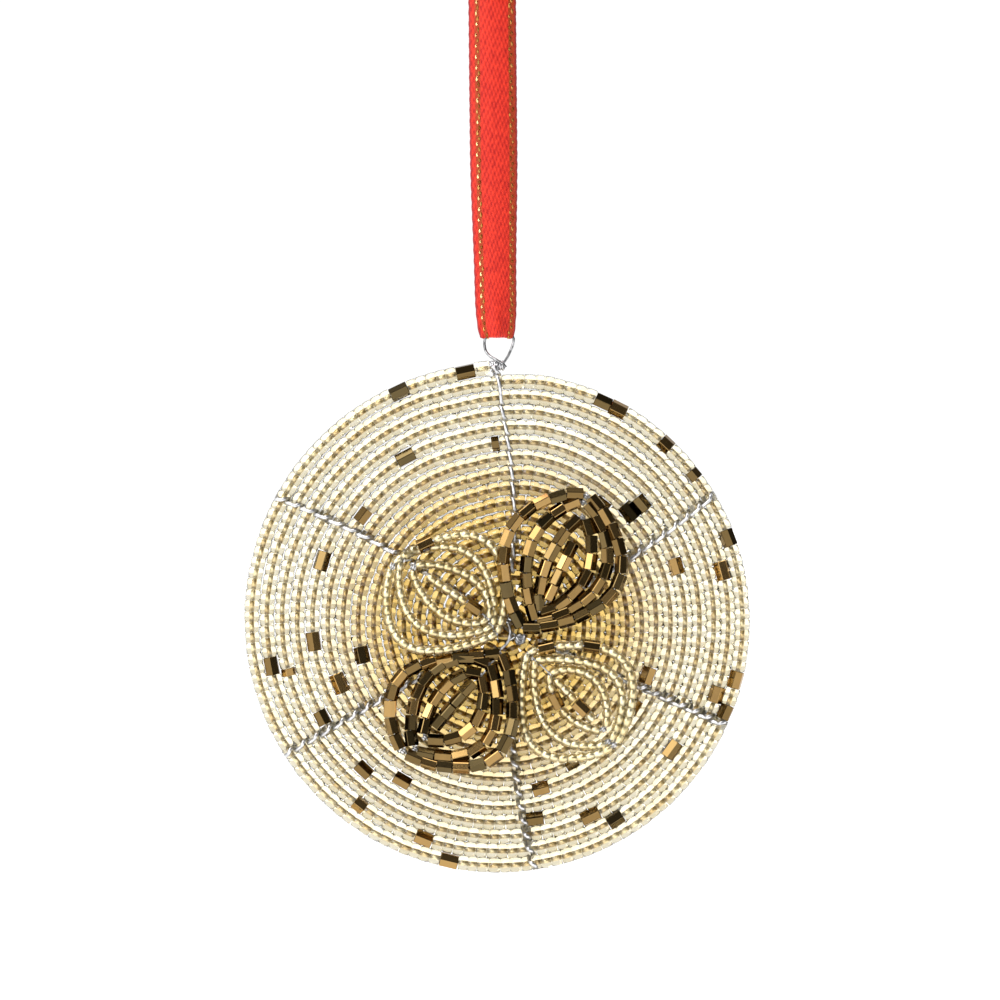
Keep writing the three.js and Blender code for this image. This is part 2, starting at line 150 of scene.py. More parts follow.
def helix(start: Vector, end: Vector, radius: float, turns: float, phase: float = 0.0,
          steps: int = 12) -> list[Vector]:
    """Winds a wire round a straight axis.

    Args:
        start: Where the axis starts.
        end: Where the axis ends.
        radius: Distance of the wire's middle from the axis.
        turns: Number of turns.
        phase: Angle at the start, in turns.
        steps: Points in each turn.

    Returns:
        Points along the wire.
    """
    axis = (end - start).normalized()
    side = axis.orthogonal().normalized()
    other = axis.cross(side)
    count = max(2, round(turns * steps))
    points = []
    for i in range(count + 1):
        angle = FULL_TURN * (phase + turns * i / count)
        middle = start.lerp(end, i / count)
        points.append(middle + radius * (side * math.cos(angle) + other * math.sin(angle)))
    return points


@dataclass
class Station:
    """One bead's place on its wire."""

    centre: Vector
    axis: Vector
    stretch: float = 1.0
    front: Vector = field(default_factory=FRONT.copy)


def string_beads(line: Line, length: float, uneven: float, dice: random.Random,
                 margins: Pair = (0.0, 0.0)) -> list[Station]:
    """Fills a wire with beads of slightly uneven length.

    Args:
        line: The wire's path.
        length: A bead's usual length.
        uneven: Largest share by which a length differs from it.
        dice: The source of the uneven lengths.
        margins: Bare wire at the start and at the end.

    Returns:
        One station for each bead. Together they fill the wire between its margins.
    """
    mark, end = margins[0], line.length - margins[1]
    count = round((end - mark) / length)
    if count < 1:
        return []
    lengths = [1 + dice.uniform(-uneven, uneven) for _ in range(count)]
    scale = (end - mark) / sum(lengths)
    stations = []
    for share in lengths:
        from_point, to_point = line.at(mark), line.at(mark + share * scale)
        middle = line.at(mark + share * scale / 2)
        stations.append(Station(middle, (to_point - from_point).normalized(), share * scale / length))
        mark += share * scale
    return stations


class Nodes:
    """Adds nodes to a tree, one call for each."""

    def __init__(self, tree: bpy.types.NodeTree) -> None:
        """Keeps the tree that the nodes go into."""
        self.tree = tree

    @staticmethod
    def socket(sockets: Iterable[bpy.types.NodeSocket], name: str | None = None) -> bpy.types.NodeSocket:
        """Returns the first socket in use, of that name if one is given."""
        return next(s for s in sockets if s.enabled and name in (None, s.name, s.identifier))

    def plug(self, value: object, socket: bpy.types.NodeSocket) -> None:
        """Gives an input its value.

        Args:
            value: A plain value, an output or a node, which stands for its first output.
            socket: The input.
        """
        if isinstance(value, bpy.types.Node):
            value = self.socket(value.outputs)
        if isinstance(value, bpy.types.NodeSocket):
            self.tree.links.new(value, socket)
        else:
            socket.default_value = value

    def add(self, kind: str, values: dict[str, object] | None = None,
            **settings: object) -> bpy.types.Node:
        """Adds one node.

        Args:
            kind: The node's type.
            values: What each named input takes: a plain value, a node or a node's output.
            **settings: The node's own properties.

        Returns:
            The new node.
        """
        node = self.tree.nodes.new(kind)
        for name, value in settings.items():
            setattr(node, name, value)
        for name, value in (values or {}).items():
            self.plug(value, self.socket(node.inputs, name))
        return node

    def math(self, operation: str, *values: object) -> bpy.types.Node:
        """Adds a sum.

        Args:
            operation: What is done with the values.
            *values: Plain numbers, nodes or outputs.

        Returns:
            The new node.
        """
        node = self.add("ShaderNodeMath", operation=operation)
        for value, socket in zip(values, node.inputs):
            self.plug(value, socket)
        return node

    def mix(self, factor: object, first: object, second: object) -> bpy.types.Node:
        """Adds a mix of two colours, which is the second one where the factor is 1."""
        return self.add("ShaderNodeMix", {"Factor": factor, "A": first, "B": second}, data_type="RGBA")

    def span(self, value: object, given: Pair, wanted: Pair, smooth: bool = False) -> bpy.types.Node:
        """Carries one range of values over to another.

        Args:
            value: The node or output that is carried over.
            given: The range that it has.
            wanted: The range that it gets.
            smooth: True for a rise that starts and ends gently.

        Returns:
            The new node.
        """
        return self.add("ShaderNodeMapRange", {
            "Value": value, "From Min": given[0], "From Max": given[1], "To Min": wanted[0],
            "To Max": wanted[1]}, interpolation_type="SMOOTHSTEP" if smooth else "LINEAR")

    def ramp(self, factor: object, stops: Stops) -> bpy.types.Node:
        """Adds a colour ramp.

        Args:
            factor: The node or output that drives it.
            stops: Places from 0 to 1 and their colours.

        Returns:
            The ramp.
        """
        node = self.add("ShaderNodeValToRGB", {"Fac": factor})
        elements = node.color_ramp.elements
        while len(elements) < len(stops):
            elements.new(1.0)
        for element, (position, colour) in zip(elements, stops):
            element.position = position
            element.color = (*colour, 1.0)
        return node

    def tone(self) -> bpy.types.NodeSocket:
        """Returns each bead's own random number from 0 to 1."""
        return self.add("ShaderNodeAttribute", attribute_name="bead_tone").outputs["Fac"]

    def grain(self, waves: float, detail: float = 2.0) -> bpy.types.NodeSocket:
        """Adds fine noise that stays on the object.

        Args:
            waves: Waves of noise in a metre.
            detail: How many finer layers it has.

        Returns:
            The noise, from 0 to 1.
        """
        coordinates = self.add("ShaderNodeTexCoord")
        noise = self.add("ShaderNodeTexNoise", {"Vector": coordinates.outputs["Object"],
                                                 "Scale": waves, "Detail": detail})
        return noise.outputs["Fac"]


class Finish:
    """What all finishes share: a material with one principled shader."""

    name = "finish"

    def start(self) -> tuple[bpy.types.Material, Nodes, bpy.types.Node]:
        """Starts a material.

        Returns:
            The new material, its nodes and its shader.
        """
        material = bpy.data.materials.new(self.name)
        material.use_nodes = True
        return material, Nodes(material.node_tree), material.node_tree.nodes["Principled BSDF"]

    @staticmethod
    def set_plain(shader: bpy.types.Node, **values: object) -> None:
        """Sets plain values on the shader's own sockets, by names with underscores for spaces."""
        for name, value in values.items():
            shader.inputs[name.replace("_", " ")].default_value = value

    def make(self) -> bpy.types.Material:
        """Returns the finished material."""
        raise NotImplementedError


@dataclass(frozen=True)
class GlassFinish(Finish):
    """Clear champagne glass, more amber towards the middle of the disc, where the amber is painted shade:
    the shadow of the petals and light bounced among the beads.
    """

    name: str = "champagne_glass"
    rim_tints: Stops = ((0.0, (0.90, 0.80, 0.54)), (1.0, (0.97, 0.90, 0.70)))
    # painted shade: the darker amber tints that the glass takes towards the disc's middle
    shaded_heart_tints: Stops = ((0.0, (0.58, 0.38, 0.10)), (1.0, (0.74, 0.53, 0.19)))
    heart_radius: float = 14.0
    rim_radius: float = 28.0
    roughness: float = 0.04
    index: float = 1.51
    clear: float = 1.0

    def make(self) -> bpy.types.Material:
        """Makes the glass, tinted by each bead's own tone, with painted shade that deepens its amber
        towards the middle of the disc.

        Returns:
            The material.
        """
        material, nodes, shader = self.start()
        tone = nodes.tone()
        rim = nodes.ramp(tone, self.rim_tints)
        heart = nodes.ramp(tone, self.shaded_heart_tints)
        coordinates = nodes.add("ShaderNodeTexCoord")
        from_centre = nodes.add("ShaderNodeVectorMath", {
            "Vector": coordinates.outputs["Object"], "Vector_001": place(0, 0) * MM},
            operation="DISTANCE")
        # painted shade: the tint runs from the shaded heart tints at the middle out to the rim tints
        outward = nodes.span(from_centre.outputs["Value"], (self.heart_radius * MM, self.rim_radius * MM),
                             (0.0, 1.0), smooth=True)
        nodes.plug(nodes.mix(outward, heart, rim), shader.inputs["Base Color"])
        self.set_plain(shader, Roughness=self.roughness, IOR=self.index,
                       Transmission_Weight=self.clear)
        return material


@dataclass(frozen=True)
class SmallGlassFinish(GlassFinish):
    """The pale gold glass of the small petal beads, with the same painted shade, paler, towards the middle
    of the disc.
    """

    name: str = "pale_gold_glass"
    shaded_heart_tints: Stops = ((0.0, (0.84, 0.71, 0.42)), (1.0, (0.95, 0.86, 0.60)))


@dataclass(frozen=True)
class MetalFinish(Finish):
    """A metal whose colour runs through a few stops, by each bead's own tone and by fine grain."""

    name: str = "metal"
    stops: Stops = ()
    roughness: float = 0.5
    tone_share: float = 0.5
    waves: float = 900.0

    def make(self) -> bpy.types.Material:
        """Makes the metal.

        Returns:
            The material.
        """
        material, nodes, shader = self.start()
        spread = nodes.math("ADD", nodes.math("MULTIPLY", nodes.tone(), self.tone_share),
                            nodes.math("MULTIPLY", nodes.grain(self.waves), 1 - self.tone_share))
        nodes.plug(nodes.ramp(spread, self.stops), shader.inputs["Base Color"])
        self.set_plain(shader, Roughness=self.roughness, Metallic=1.0)
        return material


@dataclass(frozen=True)
class LiningFinish(MetalFinish):
    """The pale gold lining of a seed bead's bore."""

    name: str = "bead_lining"
    stops: Stops = ((0.2, (0.84, 0.69, 0.45)), (0.8, (1.0, 0.94, 0.74)))
    roughness: float = 0.5
    tone_share: float = 0.55


@dataclass(frozen=True)
class SmallLiningFinish(MetalFinish):
    """The paler lining of a small petal bead."""

    name: str = "small_bead_lining"
    stops: Stops = ((0.2, (0.94, 0.89, 0.72)), (0.8, (1.0, 0.99, 0.90)))
    roughness: float = 0.36
    tone_share: float = 0.55


@dataclass(frozen=True)
class BronzeFinish(MetalFinish):
    """Metallic bronze glaze on cut beads, from dark olive through brown to tan."""

    name: str = "bronze_glaze"
    stops: Stops = ((0.05, (0.09, 0.067, 0.03)), (0.5, (0.17, 0.107, 0.038)),
                    (0.9, (0.37, 0.23, 0.084)))
    roughness: float = 0.13
    tone_share: float = 0.85
    waves: float = 700.0


@dataclass(frozen=True)
class GoldThreadFinish(MetalFinish):
    """Flat gold thread of the ribbon, of one tone in each float."""

    name: str = "gold_thread"
    stops: Stops = ((0.0, (0.5, 0.24, 0.05)), (0.8, (0.98, 0.72, 0.34)))
    roughness: float = 0.22
    tone_share: float = 1.0


@dataclass(frozen=True)
class ShadedGoldThreadFinish(GoldThreadFinish):
    """The darker gold thread that lies deeper in the cloth; its darker stops are painted shade, of floats
    turned away from the light.
    """

    name: str = "dull_gold_thread"
    stops: Stops = ((0.0, (0.2, 0.05, 0.008)), (0.8, (0.46, 0.22, 0.06)))
    roughness: float = 0.42


@dataclass(frozen=True)
class WireFinish(Finish):
    """Drawn silver wire, bright with a grey bloom that is also rougher."""

    name: str = "silver_wire"
    stops: Stops = ((0.3, (0.38, 0.38, 0.39)), (0.6, (0.78, 0.78, 0.79)))
    bright_roughness: float = 0.24
    bloom_roughness: float = 0.42
    waves: float = 1500.0
    detail: float = 3.0

    def make(self) -> bpy.types.Material:
        """Makes the wire's surface.

        Returns:
            The material.
        """
        material, nodes, shader = self.start()
        grain = nodes.grain(self.waves, self.detail)
        nodes.plug(nodes.ramp(grain, self.stops), shader.inputs["Base Color"])
        rough = nodes.span(grain, (0.0, 1.0), (self.bloom_roughness, self.bright_roughness))
        nodes.plug(rough, shader.inputs["Roughness"])
        self.set_plain(shader, Metallic=1.0)
        return material


@dataclass(frozen=True)
class ShadedWireFinish(WireFinish):
    """Darker silver wire, for the eye and the hub: its darkness is painted shade, as of wire in the shade
    of its own windings.
    """

    name: str = "dull_silver_wire"
    # painted shade: darker stops than those of the bright wire
    stops: Stops = ((0.3, (0.1, 0.1, 0.1)), (0.6, (0.42, 0.42, 0.43)))


@dataclass(frozen=True)
class RibbonFinish(Finish):
    """Matt red woven ribbon, with darker selvedges and a gold thread band near each; the weave's valleys
    are painted darker as shade and its crowns lighter as highlight.
    """

    name: str = "red_ribbon"
    # valley and crown reds of the weave: the red is the cloth's own, the darker valleys are painted shade
    # and the lighter crowns painted highlight
    stops: Stops = ((0.15, (0.38, 0.004, 0.002)), (0.85, (0.76, 0.034, 0.012)))
    selvedge: Colour = (0.26, 0.02, 0.024)
    selvedge_width: float = 0.35
    selvedge_cover: float = 0.8
    gold_band: Colour = (0.3, 0.045, 0.004)
    band_cover: float = 0.75
    band_core: float = 0.7
    warp_period: float = 0.57
    weft_period: float = 1.5
    slant: float = 0.45
    weave_share: float = 0.3
    waves: float = 1400.0
    detail: float = 3.0
    bump: float = 0.5
    bump_depth: float = 0.05
    roughness: float = 0.6
    sheen: float = 0.05
    sheen_roughness: float = 0.4
    specular: float = 0.28

    def weave(self, nodes: Nodes, across: bpy.types.NodeSocket,
              along: bpy.types.NodeSocket) -> bpy.types.Node:
        """Adds the height of the weave.

        Args:
            nodes: The material's nodes.
            across: Place across the ribbon.
            along: Place along the ribbon.

        Returns:
            The last node, about 0 in the valleys and 1 on the crowns.
        """
        warp = nodes.math("SINE", nodes.math("MULTIPLY", across, FULL_TURN / self.warp_period))
        slanted = nodes.math("ADD", along, nodes.math("MULTIPLY", across, self.slant))
        weft = nodes.math("SINE", nodes.math("MULTIPLY", slanted, FULL_TURN / self.weft_period))
        check = nodes.math("MULTIPLY", warp, weft)
        return nodes.math("ADD", nodes.math("MULTIPLY", check, self.weave_share),
                          nodes.grain(self.waves, self.detail))

    def dress(self, bands: Sequence[Pair], half_width: float) -> bpy.types.Material:
        """Makes the cloth.

        Args:
            bands: Place across the ribbon and half width of each gold band.
            half_width: Half the ribbon's width.

        Returns:
            The material.
        """
        material, nodes, shader = self.start()
        surface = nodes.add("ShaderNodeUVMap", uv_map="ribbon_surface")
        parts = nodes.add("ShaderNodeSeparateXYZ", {"Vector": surface})
        across, along = parts.outputs["X"], parts.outputs["Y"]
        height = self.weave(nodes, across, along)
        # painted shade and highlight: the weave's height sets the red, darker in the valleys and lighter
        # on the crowns
        colour = nodes.ramp(height, self.stops)
        for middle, half in bands:
            near = nodes.math("ABSOLUTE", nodes.math("SUBTRACT", across, middle))
            inside = nodes.span(near, (half * self.band_core, half), (self.band_cover, 0.0))
            colour = nodes.mix(inside, colour, (*self.gold_band, 1.0))
        edge = nodes.span(nodes.math("ABSOLUTE", across), (
            half_width - self.selvedge_width, half_width - self.selvedge_width / 2),
            (0.0, self.selvedge_cover))
        nodes.plug(nodes.mix(edge, colour, (*self.selvedge, 1.0)), shader.inputs["Base Color"])
        bump = nodes.add("ShaderNodeBump", {"Height": height, "Strength": self.bump,
                                             "Distance": self.bump_depth * MM})
        nodes.plug(bump, shader.inputs["Normal"])
        self.set_plain(shader, Roughness=self.roughness, Sheen_Weight=self.sheen,
                       Sheen_Roughness=self.sheen_roughness, Specular_IOR_Level=self.specular)
        return material


@dataclass(frozen=True)
class FloorFinish(Finish):
    """Plain pale floor, lit from below like a light table."""

    name: str = "pale_floor"
    grey: float = 0.92
    roughness: float = 0.9
    specular: float = 0.1
    glow: float = 0.5

    def make(self) -> bpy.types.Material:
        """Makes the floor's surface.

        Returns:
            The material.
        """
        material, _, shader = self.start()
        self.set_plain(shader, Base_Color=(self.grey, self.grey, self.grey, 1.0),
                       Roughness=self.roughness, Specular_IOR_Level=self.specular,
                       Emission_Color=(1.0, 1.0, 1.0, 1.0), Emission_Strength=self.glow)
        return material


def mesh_piece(name: str, points: Iterable[Vector], faces: Iterable[Sequence[int]],
               edges: Iterable[tuple[int, int]] = ()) -> bpy.types.Object:
    """Makes an object with its place in its mesh.

    Args:
        name: The object's name.
        points: Its points, in millimetres.
        faces: Its faces, as point numbers.
        edges: Its loose edges, as point numbers.

    Returns:
        The object.
    """
    mesh = bpy.data.meshes.new(name)
    mesh.from_pydata([point * MM for point in points], list(edges), list(faces))
    piece = bpy.data.objects.new(name, mesh)
    bpy.context.scene.collection.objects.link(piece)
    return piece


def loft_faces(rings: int, count: int) -> list[tuple[int, ...]]:
    """Lists the faces of a skin over rings of points, the last of which joins the first.

    Args:
        rings: Number of rings.
        count: Points in each ring.

    Returns:
        The faces as tuples of point numbers.
    """
    faces = []
    for i in range(rings):
        a, b = i * count, (i + 1) % rings * count
        for j in range(count):
            k = (j + 1) % count
            faces.append((a + j, a + k, b + k, b + j))
    return faces


def turn_outwards(mesh: bpy.types.Mesh) -> None:
    """Turns a closed mesh inside out where its signed volume is negative.

    Args:
        mesh: The mesh.
    """
    volume = 0.0
    for polygon in mesh.polygons:
        corners = [mesh.vertices[i].co for i in polygon.vertices]
        for a, b in zip(corners[1:], corners[2:]):
            volume += corners[0].dot(a.cross(b))
    if volume < 0:
        mesh.flip_normals()


@dataclass(frozen=True)
class BeadForm:
    """A bead's form: an outline along its axis, swept round a section with a bore.

    The outline holds pairs of a share of half the length and a radius.
    """

    name: str
    length: float
    outline: tuple[Pair, ...]
    bore: float
    section: tuple[Pair, ...]
    smooth: bool

    def make(self) -> bpy.types.Object:
        """Makes one bead round the Z axis, for the strings to repeat.

        Returns:
            The bead.
        """
        half = self.length / 2
        first, last = self.outline[0][0], self.outline[-1][0]
        profile = [*self.outline, (last, self.bore), (first, self.bore)]
        points = [Vector((radius * x, radius * y, share * half))
                  for share, radius in profile for x, y in self.section]
        count = len(self.section)
        bead = mesh_piece(self.name, points, loft_faces(len(profile), count))
        turn_outwards(bead.data)
        outer_rings = len(self.outline) - 1
        for i, polygon in enumerate(bead.data.polygons):
            polygon.use_smooth = self.smooth and i // count < outer_rings
        return bead


def round_section(sides: int) -> tuple[Pair, ...]:
    """Returns the points of a regular section of radius 1."""
    angles = [FULL_TURN * i / sides for i in range(sides)]
    return tuple((math.cos(a), math.sin(a)) for a in angles)


def cut_section(sides: int, chamfer: float) -> tuple[Pair, ...]:
    """Returns a regular section whose corners are cut off by a chamfer, in degrees each way."""
    angles = [FULL_TURN * i / sides + math.radians(way * chamfer)
              for i in range(sides) for way in (-1, 1)]
    return tuple((math.cos(a), math.sin(a)) for a in angles)


SEED_BEAD = BeadForm("seed_bead", 1.5, ((-1.0, 0.95), (-0.94, 1.05), (0.0, 1.09), (0.94, 1.05),
                                        (1.0, 0.95)), 0.19, round_section(8), True)
SEED_LINING = BeadForm("seed_lining", 1.5, ((-0.66, 0.235), (0.66, 0.235)), 0.12,
                       round_section(8), True)
SMALL_BEAD = BeadForm("small_bead", 1.3, ((-0.98, 0.48), (-0.78, 0.70), (0.0, 0.77), (0.78, 0.70),
                                          (0.98, 0.48)), 0.33, round_section(8), True)
SMALL_LINING = BeadForm("small_lining", 1.3, ((-0.88, 0.38), (0.88, 0.38)), 0.18,
                        round_section(8), True)
ACCENT_BEAD = BeadForm("accent_bead", 2.5, ((-1.0, 1.0), (-0.95, 1.07), (0.95, 1.07), (1.0, 1.0)),
                       0.42, cut_section(6, 3.0), False)
PETAL_BEAD = BeadForm("petal_bead", 2.35, ((-0.97, 0.88), (-0.92, 0.95), (0.92, 0.95),
                                           (0.97, 0.88)), 0.36, cut_section(6, 3.5), False)
STITCH = BeadForm("gold_stitch", 0.85, ((-1.0, 0.06), (-0.5, 0.15), (0.0, 0.19), (0.5, 0.15),
                                        (1.0, 0.06)), 0.03, round_section(8), True)


class NodeTool:
    """A Geometry Nodes tree with named inputs, run on one object and turned into a plain mesh."""

    name = "tool"
    sockets: tuple[tuple[str, str], ...] = ()

    def __init__(self) -> None:
        """Builds the tree."""
        self.tree = bpy.data.node_groups.new(self.name, "GeometryNodeTree")
        face = self.tree.interface
        face.new_socket("Layout", in_out="INPUT", socket_type="NodeSocketGeometry")
        for name, kind in (*self.sockets, ("Material", "Material")):
            face.new_socket(name, in_out="INPUT", socket_type=f"NodeSocket{kind}")
        face.new_socket("Pieces", in_out="OUTPUT", socket_type="NodeSocketGeometry")
        nodes = Nodes(self.tree)
        given = nodes.add("NodeGroupInput").outputs
        real = nodes.add("GeometryNodeRealizeInstances", {"Geometry": self.build(nodes, given)})
        dressed = nodes.add("GeometryNodeSetMaterial", {"Geometry": real, "Material": given["Material"]})
        nodes.add("NodeGroupOutput", {"Pieces": dressed})

    def build(self, nodes: Nodes, given: bpy.types.NodeOutputs) -> bpy.types.Node:
        """Adds the tool's own nodes and returns the last one."""
        raise NotImplementedError

    def run(self, name: str, layout: bpy.types.Object, material: bpy.types.Material,
            **inputs: object) -> bpy.types.Object:
        """Runs the tree on a layout.

        Args:
            name: The new piece's name.
            layout: The object that the tree works on, which is used up.
            material: The piece's finish.
            **inputs: Values of the named inputs.

        Returns:
            The piece, as a plain mesh.
        """
        modifier = layout.modifiers.new(self.name, "NODES")
        modifier.node_group = self.tree
        identifiers = {item.name: item.identifier for item in self.tree.interface.items_tree
                       if item.in_out == "INPUT"}
        for key, value in {**inputs, "Material": material}.items():
            modifier[identifiers[key]] = value
        depsgraph = bpy.context.evaluated_depsgraph_get()
        mesh = bpy.data.meshes.new_from_object(layout.evaluated_get(depsgraph))
        mesh.name = name
        mesh.materials.clear()
        mesh.materials.append(material)
        layout.modifiers.remove(modifier)
        bpy.data.objects.remove(layout)
        turn_outwards(mesh)
        piece = bpy.data.objects.new(name, mesh)
        bpy.context.scene.collection.objects.link(piece)
        return piece


@dataclass(frozen=True)
class Play:
    """How beads differ: largest roll and tilt in degrees, largest share of girth, and a fixed seed."""

    roll: float
    tilt: float
    girth: float
    seed: int


class BeadString(NodeTool):
    """Puts a bead at every point of a layout, turned along its wire and slightly uneven."""

    name = "string_beads"
    sockets = (("Bead", "Object"), ("Roll", "Float"), ("Tilt", "Float"), ("Girth", "Float"),
               ("Seed", "Int"))

    def build(self, nodes: Nodes, given: bpy.types.NodeOutputs) -> bpy.types.Node:
        """Adds the nodes that aim, size, copy and tone the bead.

        Args:
            nodes: The tree's nodes.
            given: The tree's named inputs.

        Returns:
            The last node.
        """
        def stored(name: str, kind: str) -> bpy.types.Node:
            """Returns a value that each point of the layout holds."""
            return nodes.add("GeometryNodeInputNamedAttribute", {"Name": name}, data_type=kind)

        def spread(amount: object, offset: int) -> bpy.types.Node:
            """Returns a random number from minus amount to amount, a new one for each offset."""
            return nodes.add("FunctionNodeRandomValue", {
                "Min": nodes.math("MULTIPLY", amount, -1.0), "Max": amount,
                "Seed": nodes.math("ADD", given["Seed"], offset)}, data_type="FLOAT")

        bead = nodes.add("GeometryNodeObjectInfo", {"Object": given["Bead"]})
        aimed = nodes.add("FunctionNodeAlignRotationToVector",
                          {"Vector": stored("bead_axis", "FLOAT_VECTOR")}, axis="Z")
        faced = nodes.add("FunctionNodeAlignRotationToVector", {
            "Rotation": aimed, "Vector": stored("bead_front", "FLOAT_VECTOR")},
            axis="X", pivot_axis="Z")
        angles = nodes.add("ShaderNodeCombineXYZ", {
            "X": spread(given["Tilt"], 1), "Y": spread(given["Tilt"], 2), "Z": spread(given["Roll"], 3)})
        loose = nodes.add("FunctionNodeEulerToRotation", {"Euler": angles})
        turned = nodes.add("FunctionNodeRotateRotation", {"Rotation": faced, "Rotate By": loose},
                           rotation_space="LOCAL")
        girth = nodes.math("ADD", 1.0, spread(given["Girth"], 4))
        size = nodes.add("ShaderNodeCombineXYZ", {
            "X": girth, "Y": girth, "Z": stored("bead_stretch", "FLOAT")})
        copies = nodes.add("GeometryNodeInstanceOnPoints", {
            "Points": given["Layout"], "Instance": bead.outputs["Geometry"], "Rotation": turned,
            "Scale": size})
        tone = nodes.add("FunctionNodeRandomValue", {"Seed": nodes.math("ADD", given["Seed"], 5)},
                         data_type="FLOAT")
        return nodes.add("GeometryNodeStoreNamedAttribute", {
            "Geometry": copies, "Name": "bead_tone", "Value": tone},
            domain="INSTANCE", data_type="FLOAT")

    def string(self, name: str, stations: Sequence[Station], bead: bpy.types.Object,
               material: bpy.types.Material, play: Play) -> bpy.types.Object:
        """Makes one piece of beads.

        Args:
            name: The piece's name.
            stations: Where the beads are.
            bead: The bead to repeat.
            material: The piece's finish.
            play: How the beads differ.

        Returns:
            The piece.
        """
        layout = mesh_piece(f"{name}_layout", [station.centre for station in stations], [])
        attributes = layout.data.attributes
        for key, values in (("bead_axis", [station.axis for station in stations]),
                            ("bead_front", [station.front for station in stations])):
            vectors = attributes.new(key, "FLOAT_VECTOR", "POINT")
            vectors.data.foreach_set("vector", [x for value in values for x in value])
        stretches = attributes.new("bead_stretch", "FLOAT", "POINT")
        stretches.data.foreach_set("value", [station.stretch for station in stations])
        return self.run(name, layout, material, Bead=bead, Roll=math.radians(play.roll),
                        Tilt=math.radians(play.tilt), Girth=play.girth, Seed=play.seed)


class WireDraw(NodeTool):
    """Draws wires of one thickness along the edges of a layout."""

    name = "draw_wire"
    sockets = (("Radius", "Float"), ("Sides", "Int"))

    def build(self, nodes: Nodes, given: bpy.types.NodeOutputs) -> bpy.types.Node:
        """Adds the nodes that sweep a round section along every path.

        Args:
            nodes: The tree's nodes.
            given: The tree's named inputs.

        Returns:
            The last node.
        """
        path = nodes.add("GeometryNodeMeshToCurve", {"Mesh": given["Layout"]})
        section = nodes.add("GeometryNodeCurvePrimitiveCircle", {
            "Resolution": given["Sides"], "Radius": given["Radius"]})
        swept = nodes.add("GeometryNodeCurveToMesh", {
            "Curve": path, "Profile Curve": section.outputs["Curve"], "Fill Caps": True})
        return nodes.add("GeometryNodeSetShadeSmooth", {"Geometry": swept})

    def draw(self, name: str, routes: Sequence[Sequence[Vector]], radius: float,
             material: bpy.types.Material, sides: int) -> bpy.types.Object:
        """Makes one piece of wires.

        Args:
            name: The piece's name.
            routes: The points that each wire follows.
            radius: The wire's radius.
            material: The piece's finish.
            sides: Sides of the wire's section.

        Returns:
            The piece.
        """
        points, edges = [], []
        for route in routes:
            start = len(points)
            points.extend(route)
            edges.extend((i, i + 1) for i in range(start, len(points) - 1))
        layout = mesh_piece(f"{name}_layout", points, [], edges)
        return self.run(name, layout, material, Radius=radius * MM, Sides=sides)


@dataclass
class Workshop:
    """The tools that the pieces share, with the bead forms and materials made so far."""

    strings: BeadString = field(default_factory=BeadString)
    wires: WireDraw = field(default_factory=WireDraw)
    forms: dict[str, bpy.types.Object] = field(default_factory=dict)
    materials: dict[str, bpy.types.Material] = field(default_factory=dict)

    @staticmethod
    def once(kept: dict[str, bpy.types.ID], model: BeadForm | Finish) -> bpy.types.ID:
        """Makes a form or a material the first time that it is asked for.

        Args:
            kept: What has been made, by name.
            model: What it is made from.

        Returns:
            The form or the material.
        """
        if model.name not in kept:
            kept[model.name] = model.make()
        return kept[model.name]

    def string(self, name: str, stations: Sequence[Station], bead: BeadForm, finish: Finish,
               play: Play, nodes: Sequence[str] = (), slot: str | None = None) -> bpy.types.Object:
        """Strings one piece of beads and hands it over.

        Args:
            name: The piece's name.
            stations: Where the beads are.
            bead: Their form.
            finish: Their finish.
            play: How they differ.
            nodes: The solids that the piece stands for.
            slot: The piece's slot.

        Returns:
            The piece.
        """
        form, material = self.once(self.forms, bead), self.once(self.materials, finish)
        piece = self.strings.string(name, stations, form, material, play)
        self.hand_over(piece, nodes, slot)
        return piece

    def wire(self, name: str, routes: Sequence[Sequence[Vector]], radius: float,
             finish: Finish = WireFinish(), nodes: Sequence[str] = (),
             slot: str | None = "silver_wire", sides: int = 8) -> None:
        """Draws one piece of wires and hands it over.

        Args:
            name: The piece's name.
            routes: The points that each wire follows.
            radius: The wire's radius.
            finish: The wire's finish.
            nodes: The solids that the piece stands for.
            slot: The piece's slot.
            sides: Sides of the wire's section.
        """
        material = self.once(self.materials, finish)
        self.hand_over(self.wires.draw(name, routes, radius, material, sides), nodes, slot)

    def put_away(self) -> None:
        """Removes the forms, once all strings are made."""
        for bead in self.forms.values():
            bpy.data.objects.remove(bead)
        self.forms.clear()

    @staticmethod
    def hand_over(piece: bpy.types.Object, nodes: Sequence[str], slot: str | None) -> None:
        """Sets what a finished piece rides on and what it stands for, and reports it.

        Args:
            piece: The piece.
            nodes: The solids that it stands for.
            slot: Not used.
        """
        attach(piece, BODY)
        if nodes:
            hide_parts(*nodes)
        log.info("%s: %d faces, stands for %s", piece.name, len(piece.data.polygons),
                 ", ".join(nodes) or "no node")


@dataclass(frozen=True)
class Viewpoint:
    """The camera straight in front, framing what the photograph frames."""

    distance: float = 600.0
    frame_width: float = 142.86
    centre: Pair = (0.14, -74.86)
    sensor: float = 36.0
    clip_start: float = 0.01
    clip_end: float = 50.0

    def make(self) -> None:
        """Makes the camera."""
        data = bpy.data.cameras.new("camera")
        data.sensor_width = self.sensor
        data.lens = self.sensor * self.distance / self.frame_width
        data.clip_start = self.clip_start
        data.clip_end = self.clip_end
        camera = bpy.data.objects.new("camera", data)
        x, z = self.centre
        camera.location = Vector((x, -self.distance, z)) * MM
        camera.rotation_euler = (math.pi / 2, 0.0, 0.0)
        bpy.context.scene.collection.objects.link(camera)
        bpy.context.scene.camera = camera


@dataclass(frozen=True)
class SoftPanel:
    """A bright side of the surround: its heading, how its edge fades, and its strength."""

    heading: Triple
    fade: Pair
    strength: float


